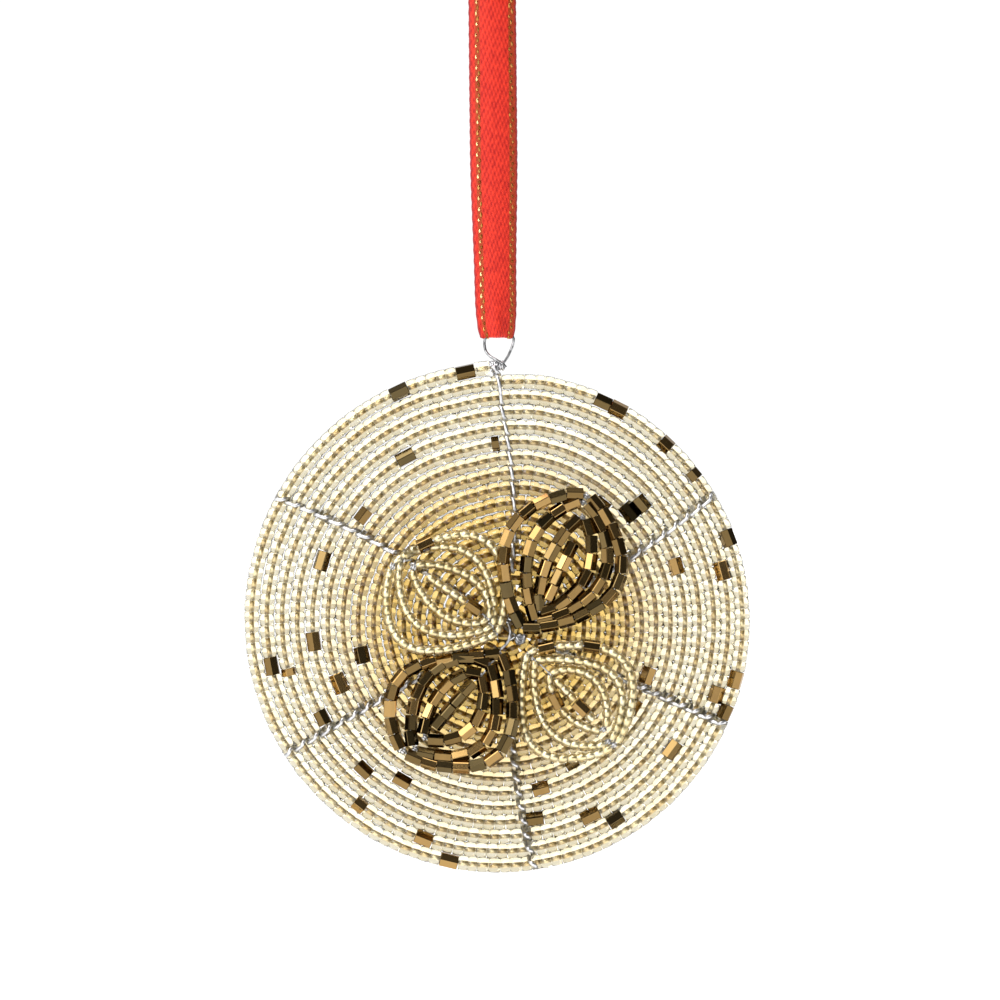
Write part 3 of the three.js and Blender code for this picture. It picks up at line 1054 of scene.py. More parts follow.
@dataclass(frozen=True)
class Studio:
    """Plain soft light, a pale floor below and a pale surround."""

    floor_drop: float = 151.0
    floor_size: float = 20000.0
    white: float = 1.05
    dim: float = 0.085
    panels: tuple[SoftPanel, ...] = (
        SoftPanel((0.0, 1.0, 0.0), (0.25, 0.65), 0.88), SoftPanel((0.0, -1.0, 0.0), (0.45, 0.85), 0.14),
        SoftPanel((-1.0, 0.0, 0.0), (0.35, 0.85), 0.85), SoftPanel((0.0, 0.5, 0.87), (0.4, 0.85), 0.6))
    sun_strength: float = 2.0
    sun_spread: float = 40.0
    sun_aim: Triple = (0.2, 0.25, -1.0)
    key_place: Triple = (-420.0, -520.0, 160.0)
    key_target: Pair = (0.0, 20.0)
    key_size: float = 360.0
    key_power: float = 2.5

    def make(self) -> None:
        """Makes the floor, the surround and the lights."""
        half = self.floor_size / 2
        corners = [Vector((x, y, -self.floor_drop)) for x, y in
                   ((-half, -half), (half, -half), (half, half), (-half, half))]
        floor = mesh_piece("floor", corners, [(0, 1, 2, 3)])
        floor.data.materials.append(FloorFinish().make())
        self.make_surround()
        self.make_lights()

    def make_surround(self) -> None:
        """Makes a surround that is white in the view, and lights the object by its panels."""
        world = bpy.data.worlds.new("studio")
        world.use_nodes = True
        nodes = Nodes(world.node_tree)
        coordinates = nodes.add("ShaderNodeTexCoord")
        level = None
        for panel in self.panels:
            facing = nodes.add("ShaderNodeVectorMath", {
                "Vector": coordinates.outputs["Generated"], "Vector_001": panel.heading},
                operation="DOT_PRODUCT")
            side = nodes.span(facing.outputs["Value"], panel.fade, (self.dim, panel.strength), smooth=True)
            level = nodes.math("MAXIMUM", level, side) if level else side
        rays = nodes.add("ShaderNodeLightPath")
        seen = nodes.math("MULTIPLY", rays.outputs["Is Camera Ray"], self.white)
        background = world.node_tree.nodes["Background"]
        background.inputs["Color"].default_value = (1.0, 1.0, 1.0, 1.0)
        nodes.plug(nodes.math("MAXIMUM", level, seen), background.inputs["Strength"])
        bpy.context.scene.world = world
        bpy.context.scene.view_settings.view_transform = "Standard"

    def make_lights(self) -> None:
        """Makes the soft key light at the left and the broad light from above."""
        key = bpy.data.lights.new("key", "AREA")
        key.size = self.key_size * MM
        key.energy = self.key_power
        start = Vector(self.key_place)
        self.hang(key, start, place(*self.key_target) - start)
        sun = bpy.data.lights.new("above", "SUN")
        sun.energy = self.sun_strength
        sun.angle = math.radians(self.sun_spread)
        self.hang(sun, Vector(), Vector(self.sun_aim))

    @staticmethod
    def hang(light: bpy.types.Light, start: Vector, aim: Vector) -> None:
        """Puts a light in its place.

        Args:
            light: The light.
            start: Where it stands.
            aim: The direction in which it shines.
        """
        lamp = bpy.data.objects.new(light.name, light)
        lamp.location = start * MM
        lamp.rotation_euler = aim.to_track_quat("-Z", "Y").to_euler()
        bpy.context.scene.collection.objects.link(lamp)


@dataclass(frozen=True)
class GoldRow:
    """A row of gold floats along one of the ribbon's two bands.

    Inset is its place across from the band's middle, shift is where its first float lies in shares
    of the pitch, and proud is its height above the cloth.
    """

    band: int
    inset: float
    shift: float
    proud: float
    bright: bool


@dataclass(frozen=True)
class RibbonLoop:
    """A red ribbon loop through the wire eye, woven with gold thread near both edges.

    It is one band of cloth in the plane across the disc: under the eye's top wire, up the front,
    over the top and down the back. A spread is an amount of width, followed by the height or heights
    over which it comes. A reach is a pair of heights above the foot. The leans are those of the foot
    and the top, and the corner drops those in the middle of the foot's bend and beside it.
    """

    cloth: RibbonFinish = RibbonFinish()
    width: float = 6.7
    thickness: float = 0.3
    top_radius: float = 4.6
    foot_radius: float = 0.7
    foot_z: float = 41.2
    eye_width: float = 3.7
    foot_width: float = 4.9
    quick_spread: Pair = (1.1, 1.6)
    slow_spread: Triple = (0.75, 6.0, 26.0)
    leans: Pair = (-0.3, -1.0)
    lean_curve: float = 0.6
    bow: float = 0.95
    pleat: float = 0.3
    pleat_waves: float = 4.6
    pleat_reach: Pair = (-0.5, 7.0)
    corner_drops: Pair = (0.3, 0.9)
    corner_reach: Pair = (-0.9, 2.5)
    edge_start: float = 0.93
    edge_thinning: float = 0.7
    scallop: float = 0.011
    step: float = 0.16
    slope_reach: float = 0.05
    columns: int = 44
    weave: float = 0.03
    # the second band is wider than the thread it stands for: the band's colour is real, and its extra
    # width is painted shade of the fold at the ribbon's right edge
    bands: tuple[Pair, Pair] = ((-2.17, 0.42), (2.65, 0.5))
    stitch_pitch: float = 1.53
    stitch_stray: float = 0.08
    stitch_stretch: Pair = (0.55, 0.95)
    gold_rows: tuple[GoldRow, ...] = (
        GoldRow(0, -0.1, 0.0, 0.03, True), GoldRow(0, 0.15, 0.5, 0.0, False),
        GoldRow(1, 0.0, 0.2, -0.03, False), GoldRow(1, -0.25, 0.7, -0.03, False))
    stitch_play: Play = Play(20.0, 8.0, 0.15, 11)
    seed: int = 7
    foot_steps: int = 12
    top_steps: int = 48
    path_step: float = 3.0
    path_end: float = 0.6

    def middle_line(self) -> Line:
        """Lays the closed middle line in the YZ plane, in three arcs from the bottom of the foot.

        Each arc is given by where it starts and ends, in quarter turns from the front.

        Returns:
            The line.
        """
        foot = (self.foot_radius, self.foot_z - DISC_DROP, self.foot_steps)
        top = (self.top_radius, -self.top_radius, self.top_steps)
        points = []
        for (radius, z, steps), start, end in ((foot, -1, 0), (top, 0, 2), (foot, 2, 3)):
            for i in range(steps + 1):
                angle = math.pi / 2 * blend(start, end, i / steps)
                points.append(Vector((0.0, -radius * math.cos(angle), z + radius * math.sin(angle))))
        return Line(points)

    def rise(self, point: Vector) -> float:
        """Returns a point's height above the foot."""
        return point.z - (self.foot_z - DISC_DROP)

    def half_width(self, rise: float, bend: float) -> float:
        """Finds half the width, which is gathered at the foot.

        Args:
            rise: Height above the foot.
            bend: How far up the foot's bend it is, from 0 to 1.

        Returns:
            Half the width.
        """
        quick, fall = self.quick_spread
        slow, low, high = self.slow_spread
        spread = quick * (1 - math.exp(-max(rise, 0.0) / fall)) + slow * smooth_step(rise, low, high)
        return (blend(self.eye_width, self.foot_width, bend) + spread) / 2

    def lean(self, rise: float) -> float:
        """Returns how far the ribbon leans to the right at a height above the foot."""
        share = min(max(rise / (DISC_DROP - self.foot_z), 0.0), 1.0)
        return blend(*self.leans, share**self.lean_curve)

    def relief(self, distance: float, across: float) -> float:
        """Finds the height of the weave.

        Args:
            distance: How far along the ribbon.
            across: How far across it, from its middle.

        Returns:
            The height above the face, below 0 in a valley.
        """
        warp = math.sin(FULL_TURN * across / self.cloth.warp_period)
        slanted = distance + self.cloth.slant * across
        return self.weave * warp * math.sin(FULL_TURN * slanted / self.cloth.weft_period)

    def surface(self, line: Line, distance: float, across: float, side: int,
                proud: float = 0.0) -> tuple[Vector, Vector, Vector]:
        """Finds a point on the cloth.

        Args:
            line: The middle line.
            distance: How far along it.
            across: From -1 at the left edge to 1 at the right edge, as seen on the front strand.
            side: 1 for the outer face and -1 for the inner one.
            proud: How far above the face.

        Returns:
            The point, the direction along the ribbon and the face's outward direction.
        """
        before = line.at((distance - self.slope_reach) % line.length)
        after = line.at((distance + self.slope_reach) % line.length)
        along = (after - before).normalized()
        middle = line.at(distance % line.length)
        out = ACROSS.cross(along).normalized()
        rise = self.rise(middle)
        bend = min(abs(middle.y) / self.foot_radius, 1.0)
        low = 1 - smooth_step(rise, *self.pleat_reach)
        strand = 1 if middle.y <= 0 else -1
        pleat = self.pleat * low * math.cos(across * self.pleat_waves) * strand
        drop = blend(*self.corner_drops, bend) * (1 - smooth_step(rise, *self.corner_reach))
        weave = self.relief(distance, across * self.width / 2)
        edge = 1 - smooth_step(abs(across), self.edge_start, 1.0) * self.edge_thinning
        wave = math.sin(FULL_TURN * distance / self.stitch_pitch)
        scallop = 1 + self.scallop * wave * abs(across) ** 6
        height = (self.thickness / 2) * edge + weave * edge * side + proud
        swell = side * height + self.bow * (1 / 3 - across**2) * abs(out.y)
        sideways = across * self.half_width(rise, bend) * scallop + self.lean(rise)
        point = middle + ACROSS * sideways + out * swell
        point += Vector((0.0, -pleat * abs(out.y), -drop * across**4))
        return point, along, out * side

    def make_cloth(self, line: Line) -> bpy.types.Object:
        """Makes the band itself, with its weave as relief.

        Args:
            line: The middle line.

        Returns:
            The band.
        """
        rows = round(line.length / self.step)
        shares = [2 * j / self.columns - 1 for j in range(self.columns + 1)]
        section = [(a, 1) for a in shares] + [(a, -1) for a in reversed(shares)]
        points = [self.surface(line, line.length * i / rows, a, side)[0]
                  for i in range(rows) for a, side in section]
        cloth = mesh_piece("ribbon", points, loft_faces(rows, len(section)))
        turn_outwards(cloth.data)
        cloth.data.uv_layers.new(name="ribbon_surface")
        surface = cloth.data.uv_layers["ribbon_surface"].data
        count = len(section)
        for polygon in cloth.data.polygons:
            polygon.use_smooth = True
            wraps = max(polygon.vertices) // count - min(polygon.vertices) // count > 1
            for loop, vertex in zip(polygon.loop_indices, polygon.vertices):
                row, column = divmod(vertex, count)
                row += rows if wraps and row == 0 else 0
                surface[loop].uv = (section[column][0] * self.width / 2, line.length * row / rows)
        cloth.data.materials.append(self.cloth.dress(self.bands, self.width / 2))
        return cloth

    def float_stations(self, line: Line, row: GoldRow, dice: random.Random) -> list[Station]:
        """Places one row of the gold thread's floats, on both faces of the cloth.

        Args:
            line: The ribbon's middle line.
            row: The row.
            dice: The source of what is uneven.

        Returns:
            The stations.
        """
        middle = self.bands[row.band][0] + row.inset
        stations = []
        count = round(line.length / self.stitch_pitch)
        for i in range(count):
            distance = line.length * (i + row.shift) / count
            stray = dice.uniform(-self.stitch_stray, self.stitch_stray)
            for side in (1, -1):
                point, along, out = self.surface(line, distance, (middle + stray) / (self.width / 2),
                                                 side, row.proud)
                stations.append(Station(point, along, dice.uniform(*self.stitch_stretch), out))
        return stations

    def make_threads(self, line: Line, shop: Workshop) -> list[bpy.types.Object]:
        """Makes the bright gold thread and the darker one, whose darkness is painted shade.

        Args:
            line: The ribbon's middle line.
            shop: The workshop.

        Returns:
            Both pieces.
        """
        dice = random.Random(self.seed)
        floats = {True: [], False: []}
        for row in self.gold_rows:
            floats[row.bright].extend(self.float_stations(line, row, dice))
        # rows that are not bright take the gold thread with painted shade
        return [shop.string(name, floats[bright], STITCH, finish, self.stitch_play)
                for name, bright, finish in (
                    ("ribbon_gold_thread", True, GoldThreadFinish()),
                    ("ribbon_dull_gold_thread", False, ShadedGoldThreadFinish()))]

    def make(self, shop: Workshop) -> None:
        """Args:
            shop: The workshop.
        """
        line = self.middle_line()
        cloth = self.make_cloth(line)
        shop.hand_over(cloth, ("ribbon_loop",), "red_ribbon")
        threads = self.make_threads(line, shop)
        path = [(point + ACROSS * self.lean(self.rise(point))) * MM
                for point in line.cut(0.0, line.length - self.path_end, self.path_step)]


@dataclass(frozen=True)
class Accent:
    """A bronze bead on the coil: turns in from the rim, clock angle and length."""

    ring: int
    clock: float
    length: float

    @property
    def turn(self) -> float:
        """Returns where it is on the strand, in turns from its outer end."""
        return self.ring + 1 - self.clock / 360


ACCENTS = tuple(Accent(*values) for values in (
    (0, 25.4, 2.4), (0, 29.4, 2.4), (0, 43.4, 1.9), (0, 53.2, 1.5), (0, 70.2, 2.45),
    (0, 104.1, 2.5), (0, 112.1, 2.15), (0, 191.8, 2.6), (0, 336.4, 2.7), (0, 352.3, 2.7),
    (1, 77.3, 2.75), (1, 108.8, 2.4), (1, 149.8, 2.35), (1, 199.2, 2.55), (1, 217.2, 1.8),
    (1, 258.7, 2.6), (2, 126.8, 2.7), (2, 155.1, 2.8), (2, 256.4, 1.05), (3, 170.1, 2.5),
    (3, 222.6, 2.4), (3, 241.6, 2.15), (4, 50.0, 2.3), (4, 72.4, 2.4), (4, 211.9, 2.5),
    (4, 264.0, 2.7), (4, 288.8, 2.8), (4, 329.9, 2.7), (5, 49.2, 2.7), (5, 166.6, 2.4),
    (5, 249.3, 2.9), (5, 307.6, 2.2), (5, 358.2, 1.1), (6, 40.3, 2.3), (6, 110.0, 2.5),
    (6, 122.6, 2.35), (6, 153.6, 1.9), (7, 257.0, 2.45)))


@dataclass(frozen=True)
class CoilStrand:
    """The spiral that the coil's strand follows, by turns in from its outer end."""

    pitch: float = 2.114
    end_radius: float = 36.1
    end_turn: float = 0.006
    step_share: float = 0.45
    step_width: float = 0.03
    drift: Pair = (0.9, -0.9)
    drift_turns: float = 16.0

    def radius(self, turn: float) -> float:
        """Finds the radius, which takes part of each turn's growth as a step at the top spoke.

        Args:
            turn: Turns in from the outer end.

        Returns:
            The radius.
        """
        share = 1 - turn % 1
        window = min(1.0, share / self.step_width, (1 - share) / self.step_width)
        lag = self.step_share * (0.5 - share) * window
        return self.end_radius - self.pitch * (turn - lag)

    def point(self, turn: float, clock: float | None = None) -> Vector:
        """Finds the strand's middle, or the point in line with it at another clock angle.

        Args:
            turn: Turns in from the outer end.
            clock: The other clock angle, if it isn't the strand's own.

        Returns:
            The point.
        """
        shift = turn / self.drift_turns
        heading = clock_direction(-360 * turn if clock is None else clock)
        return place(self.drift[0] * shift, self.drift[1] * shift) + heading * self.radius(turn)

    def line(self, start: float, end: float, steps: int = 240) -> Line:
        """Returns the strand from one turn to another."""
        count = max(2, math.ceil((end - start) * steps))
        return Line([self.point(blend(start, end, i / count)) for i in range(count + 1)])


@dataclass(frozen=True)
class BeadCoil:
    """The disc: one strand of seed beads with bronze beads among them."""

    strand: CoilStrand = CoilStrand()
    uneven: float = 0.14
    accent_gap: float = 0.02
    heart_reach: Pair = (6.0, 20.0)
    heart_crowding: float = 0.1
    fill_turns: float = 16.8
    wire_radius: float = 0.08
    wire_tail: float = 0.002
    wire_steps: int = 60
    ripple: float = 0.03
    seed: int = 3
    seed_play: Play = Play(5.0, 2.5, 0.02, 21)
    accent_play: Play = Play(28.0, 3.0, 0.03, 31)

    def stretches(self) -> list[Pair]:
        """Finds the lengths of strand between bronze beads.

        Returns:
            The start and the end of each, in turns.
        """
        marks = [(self.strand.end_turn, self.strand.end_turn)]
        for accent in sorted(ACCENTS, key=lambda bead: bead.turn):
            round_trip = FULL_TURN * self.strand.radius(accent.turn)
            half = (accent.length / 2 + self.accent_gap) / round_trip
            marks.append((accent.turn - half, accent.turn + half))
        marks.append((self.fill_turns, self.fill_turns))
        return [(before[1], after[0]) for before, after in zip(marks, marks[1:])]

    def seed_stations(self, dice: random.Random) -> list[Station]:
        """Places the seed beads, each a little off the even spiral.

        Args:
            dice: The source of what is uneven.

        Returns:
            The stations.
        """
        stations = []
        for start, end in self.stretches():
            if end > start:
                line = self.strand.line(start, end)
                stations.extend(string_beads(line, SEED_BEAD.length, self.uneven, dice))
        for station in stations:
            outward = station.axis.cross(FRONT)
            station.centre += outward * dice.uniform(-self.ripple, self.ripple)
            station.centre += FRONT * dice.uniform(-self.ripple, self.ripple)
            out = (station.centre - place(0, 0)).length
            station.stretch *= 1 + self.heart_crowding * (1 - smooth_step(out, *self.heart_reach))
        return stations

    def accent_stations(self) -> list[Station]:
        """Places the bronze beads.

        Returns:
            The stations.
        """
        stations = []
        for accent in ACCENTS:
            half = accent.length / 2 / (FULL_TURN * self.strand.radius(accent.turn))
            start, end = self.strand.point(accent.turn - half), self.strand.point(accent.turn + half)
            stations.append(Station(self.strand.point(accent.turn), (end - start).normalized(),
                                    accent.length / ACCENT_BEAD.length))
        return stations

    def make(self, shop: Workshop) -> None:
        """Makes the beads, their linings, the wire and the bronze beads.

        Args:
            shop: The workshop.
        """
        stations = self.seed_stations(random.Random(self.seed))
        shop.string("coil_seed_beads", stations, SEED_BEAD, GlassFinish(), self.seed_play,
                    ("bead_coil",), "pale_glass_beads")
        shop.string("coil_bead_linings", stations, SEED_LINING, LiningFinish(), self.seed_play)
        wire = self.strand.line(self.strand.end_turn - self.wire_tail, self.fill_turns, self.wire_steps)
        shop.wire("coil_wire", [wire.points], self.wire_radius, slot=None, sides=6)
        nodes = sorted(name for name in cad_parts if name.startswith("accent_bead_"))
        shop.string("coil_bronze_beads", self.accent_stations(), ACCENT_BEAD, BronzeFinish(),
                    self.accent_play, nodes, "bronze_beads")


@dataclass(frozen=True)
class Spoke:
    """A pair of wires twined round every ring of the coil, from the rim to the hub."""

    name: str
    rim_clock: float
    foot_clock: float
    strand: CoilStrand = CoilStrand()
    foot_ring: float = 8.2
    last_ring: float = 14.0
    last_share: float = 1.2
    wire_radius: float = 0.28
    depth: float = 1.36
    sway: float = 0.34
    hug: float = 0.5
    steps: int = 12

    def wire(self, phase: int) -> list[Vector]:
        """Lays one wire of the pair, which passes before every other ring.

        Args:
            phase: 0 for the wire that starts in front, and 1 for the other.

        Returns:
            The wire's route.
        """
        count = round((self.last_ring + 0.5) * self.steps)
        points = []
        for i in range(count + 1):
            ring = i / self.steps - 0.5
            clock = blend(self.rim_clock, self.foot_clock, min(ring / self.foot_ring, self.last_share))
            clock_share = (clock % 360) / 360
            middle = self.strand.point(max(ring + 1 - clock_share, 0.0), clock)
            side = clock_direction(clock).cross(FRONT)
            swing = math.cos(math.pi * (ring + phase))
            depth = self.depth * math.copysign(abs(swing) ** self.hug, swing)
            sway = self.sway * math.sin(math.pi * (ring + phase))
            points.append(middle + FRONT * depth + side * sway)
        return points

    def make(self, shop: Workshop) -> None:
        """Makes the pair."""
        routes = [self.wire(phase) for phase in (0, 1)]
        shop.wire(f"{self.name}_pair", routes, self.wire_radius, nodes=(self.name,))


SPOKES = (Spoke("spoke_wire_top", -0.9, 5.7), Spoke("spoke_wire_right_upper", 60.0, 63.8),
          Spoke("spoke_wire_right_lower", 114.8, 114.6), Spoke("spoke_wire_bottom", 172.2, 175.3),
          Spoke("spoke_wire_left_lower", 238.0, 237.9), Spoke("spoke_wire_left_upper", 299.0, 303.4))


@dataclass(frozen=True)
class Wrap:
    """A few turns of wire round an axis, whose ends are given by x, z and lift."""

    start: Triple
    end: Triple
    radius: float
    turns: float
    phase: float = 0.0

    def route(self) -> list[Vector]:
        """Returns the points along the wire."""
        return helix(place(*self.start), place(*self.end), self.radius, self.turns, self.phase)


@dataclass(frozen=True)
class HangingEye:
    """The wire eye that carries the ribbon, with its wraps round the end of the strand."""

    wire_radius: float = 0.2
    wrap_radius: float = 0.15
    route: tuple[Triple, ...] = (
        (0.98, 36.06, 1.0), (0.64, 36.46, 1.0), (0.2, 36.75, 0.9), (-0.5, 37.2, 0.7),
        (-1.25, 37.65, 0.4), (-1.85, 38.35, 0.1), (-2.07, 39.3, 0.0), (-1.95, 40.2, 0.0),
        (-1.3, 40.9, 0.0), (0.0, 41.2, 0.0), (1.3, 40.95, 0.0), (2.0, 40.4, 0.0),
        (2.05, 39.6, 0.0), (1.67, 38.5, 0.0), (1.18, 37.5, 0.1), (0.6, 36.7, 0.3), (-0.3, 36.1, 0.4))
    wraps: tuple[Wrap, ...] = (
        Wrap((-1.25, 36.1, 0.0), (-0.35, 36.3, 0.0), 0.78, 3.0),
        Wrap((-0.2, 36.4, 0.2), (0.75, 36.3, 0.3), 0.62, 2.6, 0.3),
        Wrap((-0.55, 35.9, 0.3), (0.1, 36.8, 0.4), 0.5, 2.0, 0.6))

    def make(self, shop: Workshop) -> None:
        """Makes the eye and its wraps.

        Args:
            shop: The workshop.
        """
        loop = smooth_route([place(*stop) for stop in self.route])
        shop.wire("hanging_eye_wire", [loop], self.wire_radius, ShadedWireFinish(), ("hanging_eye",))
        shop.wire("hanging_eye_wraps", [wrap.route() for wrap in self.wraps], self.wrap_radius)


class PetalKind(Enum):
    """What a petal's rows are strung with."""

    BRONZE = "bronze"
    PALE = "pale"


@dataclass(frozen=True)
class Row:
    """One looped row of beads, from its base to its tip.

    Left and right hold the flank's greatest width and where along the axis that width lies.
    """

    base: Pair
    tip: Pair
    left: Pair
    right: Pair


@dataclass(frozen=True)
class Petal:
    """A petal of nested rows of beads round a straight middle strand."""

    node: str
    kind: PetalKind
    lift: Pair
    rows: tuple[Row, ...]
    strand: tuple[Pair, Pair]
    guests: tuple[Pair, ...] = ()
    seed: int = 0
    uneven: float = 0.08
    roundness: float = 0.68
    shared_lift: float = 0.5
    coil_top: float = 1.0
    margins: Pair = (0.1, 0.55)
    base_lift: float = 3.3
    tip_lift: float = 3.1
    flank_steps: int = 60
    wire_radius: float = 0.14
    wire_stride: int = 4
    wrap_radius: float = 0.3
    wrap_turns: float = 2.5
    tip_wrap: Pair = (-0.3, 0.5)
    base_wrap: Pair = (-0.6, 0.2)
    bronze_play: Triple = (30.0, 3.5, 0.03)
    small_play: Triple = (30.0, 4.0, 0.05)
    guest_play: Triple = (30.0, 3.0, 0.03)

    def flank(self, row: Row, leftward: bool) -> Line:
        """Lays one side of a row.

        Args:
            row: The row.
            leftward: True for the side at the left of the way from base to tip.

        Returns:
            The side, from its base to its tip.
        """
        width, peak = row.left if leftward else row.right
        outer, _ = self.rows[0].left if leftward else self.rows[0].right
        share = blend(width / outer, 1.0, self.shared_lift)
        top = self.coil_top + self.lift[0 if leftward else 1] * share
        skew = math.log(0.5) / math.log(peak)
        base, tip = Vector(row.base), Vector(row.tip)
        span = tip - base
        side = Vector((-span.y, span.x)).normalized() * (1 if leftward else -1)
        points = []
        for i in range(self.flank_steps + 1):
            along = (1 - math.cos(math.pi * i / self.flank_steps)) / 2
            swell = max(math.sin(math.pi * along**skew), 0.0) ** self.roundness
            flat = base + span * along + side * width * swell
            rest = blend(self.base_lift, self.tip_lift, along)
            points.append(place(flat.x, flat.y, rest + (top - rest) * math.sin(math.pi * along)))
        return Line(points)

    def lines(self) -> list[Line]:
        """Lays all the strands.

        Returns:
            Both sides of every row, and the middle strand.
        """
        sides = [self.flank(row, leftward) for row in self.rows for leftward in (True, False)]
        start, end = self.strand
        return [*sides, Line([place(*start, self.base_lift), place(*end, self.tip_lift)])]

    def stations(self, bead: BeadForm, dice: random.Random) -> list[Station]:
        """Returns the places of all beads."""
        return [station for line in self.lines()
                for station in string_beads(line, bead.length, self.uneven, dice, self.margins)]

    def seat_guests(self, stations: list[Station]) -> list[Station]:
        """Takes two small beads out for each bronze one.

        Args:
            stations: The small beads' places, which lose two for each bronze bead.

        Returns:
            The bronze beads' places.
        """
        guests = []
        for x, z in self.guests:
            spot = place(x, z)
            offsets = [math.hypot(s.centre.x - spot.x, s.centre.z - spot.z) for s in stations]
            first = min(range(1, len(stations) - 1), key=offsets.__getitem__)
            second = min(first - 1, first + 1, key=offsets.__getitem__)
            pair = (stations[first], stations[second])
            guests.append(Station((pair[0].centre + pair[1].centre) / 2,
                                  (pair[1].centre - pair[0].centre).normalized()))
            for station in pair:
                stations.remove(station)
        return guests

    def wire_routes(self) -> list[list[Vector]]:
        """Lays the wires inside the beads, the wraps at tips and bases, and the wire that joins the bases.

        Returns:
            The routes.
        """
        routes = [line.points[::self.wire_stride] for line in self.lines()]
        for row in self.rows:
            tip, base = place(*row.tip, self.tip_lift), place(*row.base, self.base_lift)
            inward = (base - tip).normalized()
            for spot, (start, end) in ((tip, self.tip_wrap), (base, self.base_wrap)):
                routes.append(helix(spot + inward * start, spot + inward * end, self.wrap_radius,
                                    self.wrap_turns))
        spine = [*(row.base for row in self.rows), self.strand[0]]
        return [*routes, [place(*spot, self.base_lift) for spot in spine]]

    def make(self, shop: Workshop) -> None:
        """Makes the petal's beads, linings and wires.

        Args:
            shop: The workshop.
        """
        dice = random.Random(self.seed)
        beads = f"{self.node}_beads"
        if self.kind is PetalKind.BRONZE:
            shop.string(beads, self.stations(PETAL_BEAD, dice), PETAL_BEAD, BronzeFinish(),
                        Play(*self.bronze_play, self.seed), (self.node,), "bronze_beads")
        else:
            stations = self.stations(SMALL_BEAD, dice)
            guests = self.seat_guests(stations)
            play = Play(*self.small_play, self.seed)
            shop.string(beads, stations, SMALL_BEAD, SmallGlassFinish(), play, (self.node,),
                        "pale_glass_beads")
            shop.string(f"{self.node}_linings", stations, SMALL_LINING, SmallLiningFinish(), play)
            shop.string(f"{self.node}_bronze_beads", guests, PETAL_BEAD, BronzeFinish(),
                        Play(*self.guest_play, self.seed), (), "bronze_beads")
        shop.wire(f"{self.node}_wire", self.wire_routes(), self.wire_radius, sides=6)


PETALS = (
    Petal("petal_bronze_upper_right", PetalKind.BRONZE, (3.8, 3.4), (
        Row((3.3, -0.9), (12.5, 17.8), (7.6, 0.55), (9.4, 0.54)),
        Row((5.3, 0.1), (12.0, 16.9), (4.7, 0.55), (6.6, 0.52)),
        Row((5.8, 1.3), (11.9, 14.8), (1.9, 0.5), (3.9, 0.5))),
        ((6.8, 2.8), (10.8, 11.6)), seed=41),
    Petal("petal_bronze_lower_left", PetalKind.BRONZE, (4.0, 2.1), (
        Row((0.2, -4.7), (-13.6, -18.6), (9.7, 0.52), (7.7, 0.62)),
        Row((-1.4, -6.3), (-12.0, -18.3), (6.8, 0.53), (5.4, 0.42)),
        Row((-2.5, -7.9), (-10.6, -16.7), (3.9, 0.52), (2.8, 0.4))),
        ((-3.6, -8.6), (-9.6, -15.6)), seed=42),
    Petal("petal_pale_upper_left", PetalKind.PALE, (3.9, 2.0), (
        Row((-0.4, -1.8), (-15.2, 7.8), (8.3, 0.57), (10.2, 0.48)),
        Row((-1.0, -0.7), (-13.8, 8.8), (6.2, 0.52), (6.3, 0.52)),
        Row((-1.6, 0.3), (-12.3, 7.6), (3.2, 0.45), (3.4, 0.42))),
        ((-2.4, 1.0), (-10.6, 6.6)), ((-11.0, 12.6), (-3.0, 2.0)), seed=43),
    Petal("petal_pale_lower_right", PetalKind.PALE, (3.4, 2.1), (
        Row((4.1, -4.6), (16.4, -17.7), (9.1, 0.55), (8.5, 0.57)),
        Row((5.2, -5.6), (15.6, -17.3), (6.8, 0.58), (5.2, 0.56)),
        Row((7.3, -7.6), (14.9, -15.5), (4.0, 0.46), (2.4, 0.5))),
        ((7.9, -8.3), (13.8, -14.6)), ((6.6, -3.0), (13.3, -3.4), (8.1, -11.9), (12.1, -12.0)), seed=44))


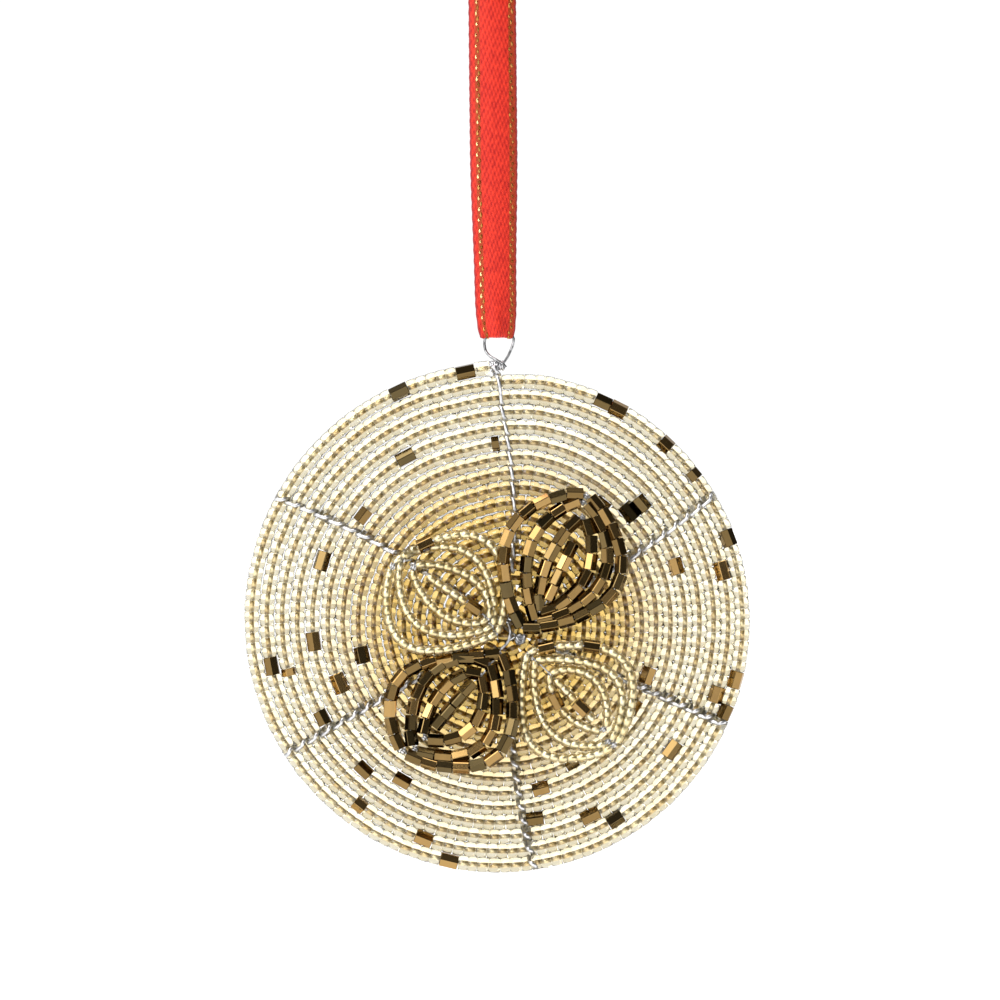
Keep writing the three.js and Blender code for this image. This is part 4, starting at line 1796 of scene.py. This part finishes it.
@dataclass(frozen=True)
class HubBinding:
    """The wire that ties the petals in front, passes through the disc and is wound behind it.

    Each knot loop holds its tilt and its spin in degrees and its radius.
    """

    centre: Pair = (0.9, -1.1)
    knot: Triple = (3.0, -2.6, 3.9)
    knot_loops: tuple[Triple, ...] = ((20, 35, 0.7), (65, 10, 0.6), (40, -50, 0.75), (80, 75, 0.5),
                                      (10, 20, 0.32), (50, -20, 0.3))
    loop_steps: int = 18
    arc: tuple[Triple, ...] = ((1.3, -0.4, 3.4), (1.6, -1.5, 4.6), (1.5, -2.3, 5.0), (1.1, -3.2, 4.8),
                               (0.3, -4.0, 4.2))
    stem_lift: float = 1.6
    boss_radius: float = 2.5
    boss_turns: float = 5.0
    boss_lift: float = -1.6
    boss_hollow: float = 0.15
    boss_ripple: float = 0.25
    boss_waves: float = 9.0
    boss_steps: int = 16
    wire_radius: float = 0.22

    def boss(self) -> list[Vector]:
        """Lays the flat winding behind the disc, which ends in the stem.

        Returns:
            The wire's route.
        """
        count = round(self.boss_turns * self.boss_steps)
        points = []
        for i in range(count + 1):
            share = 1 - i / count
            heading = clock_direction(360 * self.boss_turns * share)
            lift = self.boss_lift + self.boss_ripple * math.sin(self.boss_waves * share)
            points.append(place(*self.centre, lift)
                          + heading * max(self.boss_radius * share, self.boss_hollow))
        return points

    def knot_loop(self, tilt: float, spin: float, radius: float) -> list[Vector]:
        """Lays one turn of the knot at the petals' bases.

        Args:
            tilt: How far it is tipped up from level, in degrees.
            spin: How far it is then turned in the plane of the disc, in degrees.
            radius: Its radius.

        Returns:
            The wire's route, one step short of closed.
        """
        turn = Matrix.Rotation(math.radians(spin), 3, "Y") @ Matrix.Rotation(math.radians(tilt), 3, "X")
        angles = [FULL_TURN * i / self.loop_steps for i in range(self.loop_steps - 1)]
        return [place(*self.knot) + turn @ (radius * (ACROSS * math.cos(a) + FRONT * math.sin(a)))
                for a in angles]

    def make(self, shop: Workshop) -> None:
        """Makes the winding, the knot, the arc that stands out from it and the stem.

        Args:
            shop: The workshop.
        """
        stem = [place(*self.centre, self.boss_lift), place(*self.centre, self.stem_lift),
                place(*self.knot)]
        routes = [self.boss(), *(self.knot_loop(*loop) for loop in self.knot_loops),
                  smooth_route([place(*stop) for stop in self.arc]), smooth_route(stem)]
        shop.wire("hub_binding_wire", routes, self.wire_radius, ShadedWireFinish(), ("hub_binding",))


def main() -> None:
    """Builds the camera, the ribbon and then all the other pieces."""
    logging.basicConfig(level=logging.INFO, format="%(name)s: %(message)s")
    Viewpoint().make()
    shop = Workshop()
    RibbonLoop().make(shop)
    BeadCoil().make(shop)
    for spoke in SPOKES:
        spoke.make(shop)
    HangingEye().make(shop)
    for petal in PETALS:
        petal.make(shop)
    HubBinding().make(shop)
    shop.put_away()
    Studio().make()


if __name__ == "__main__":
    main()
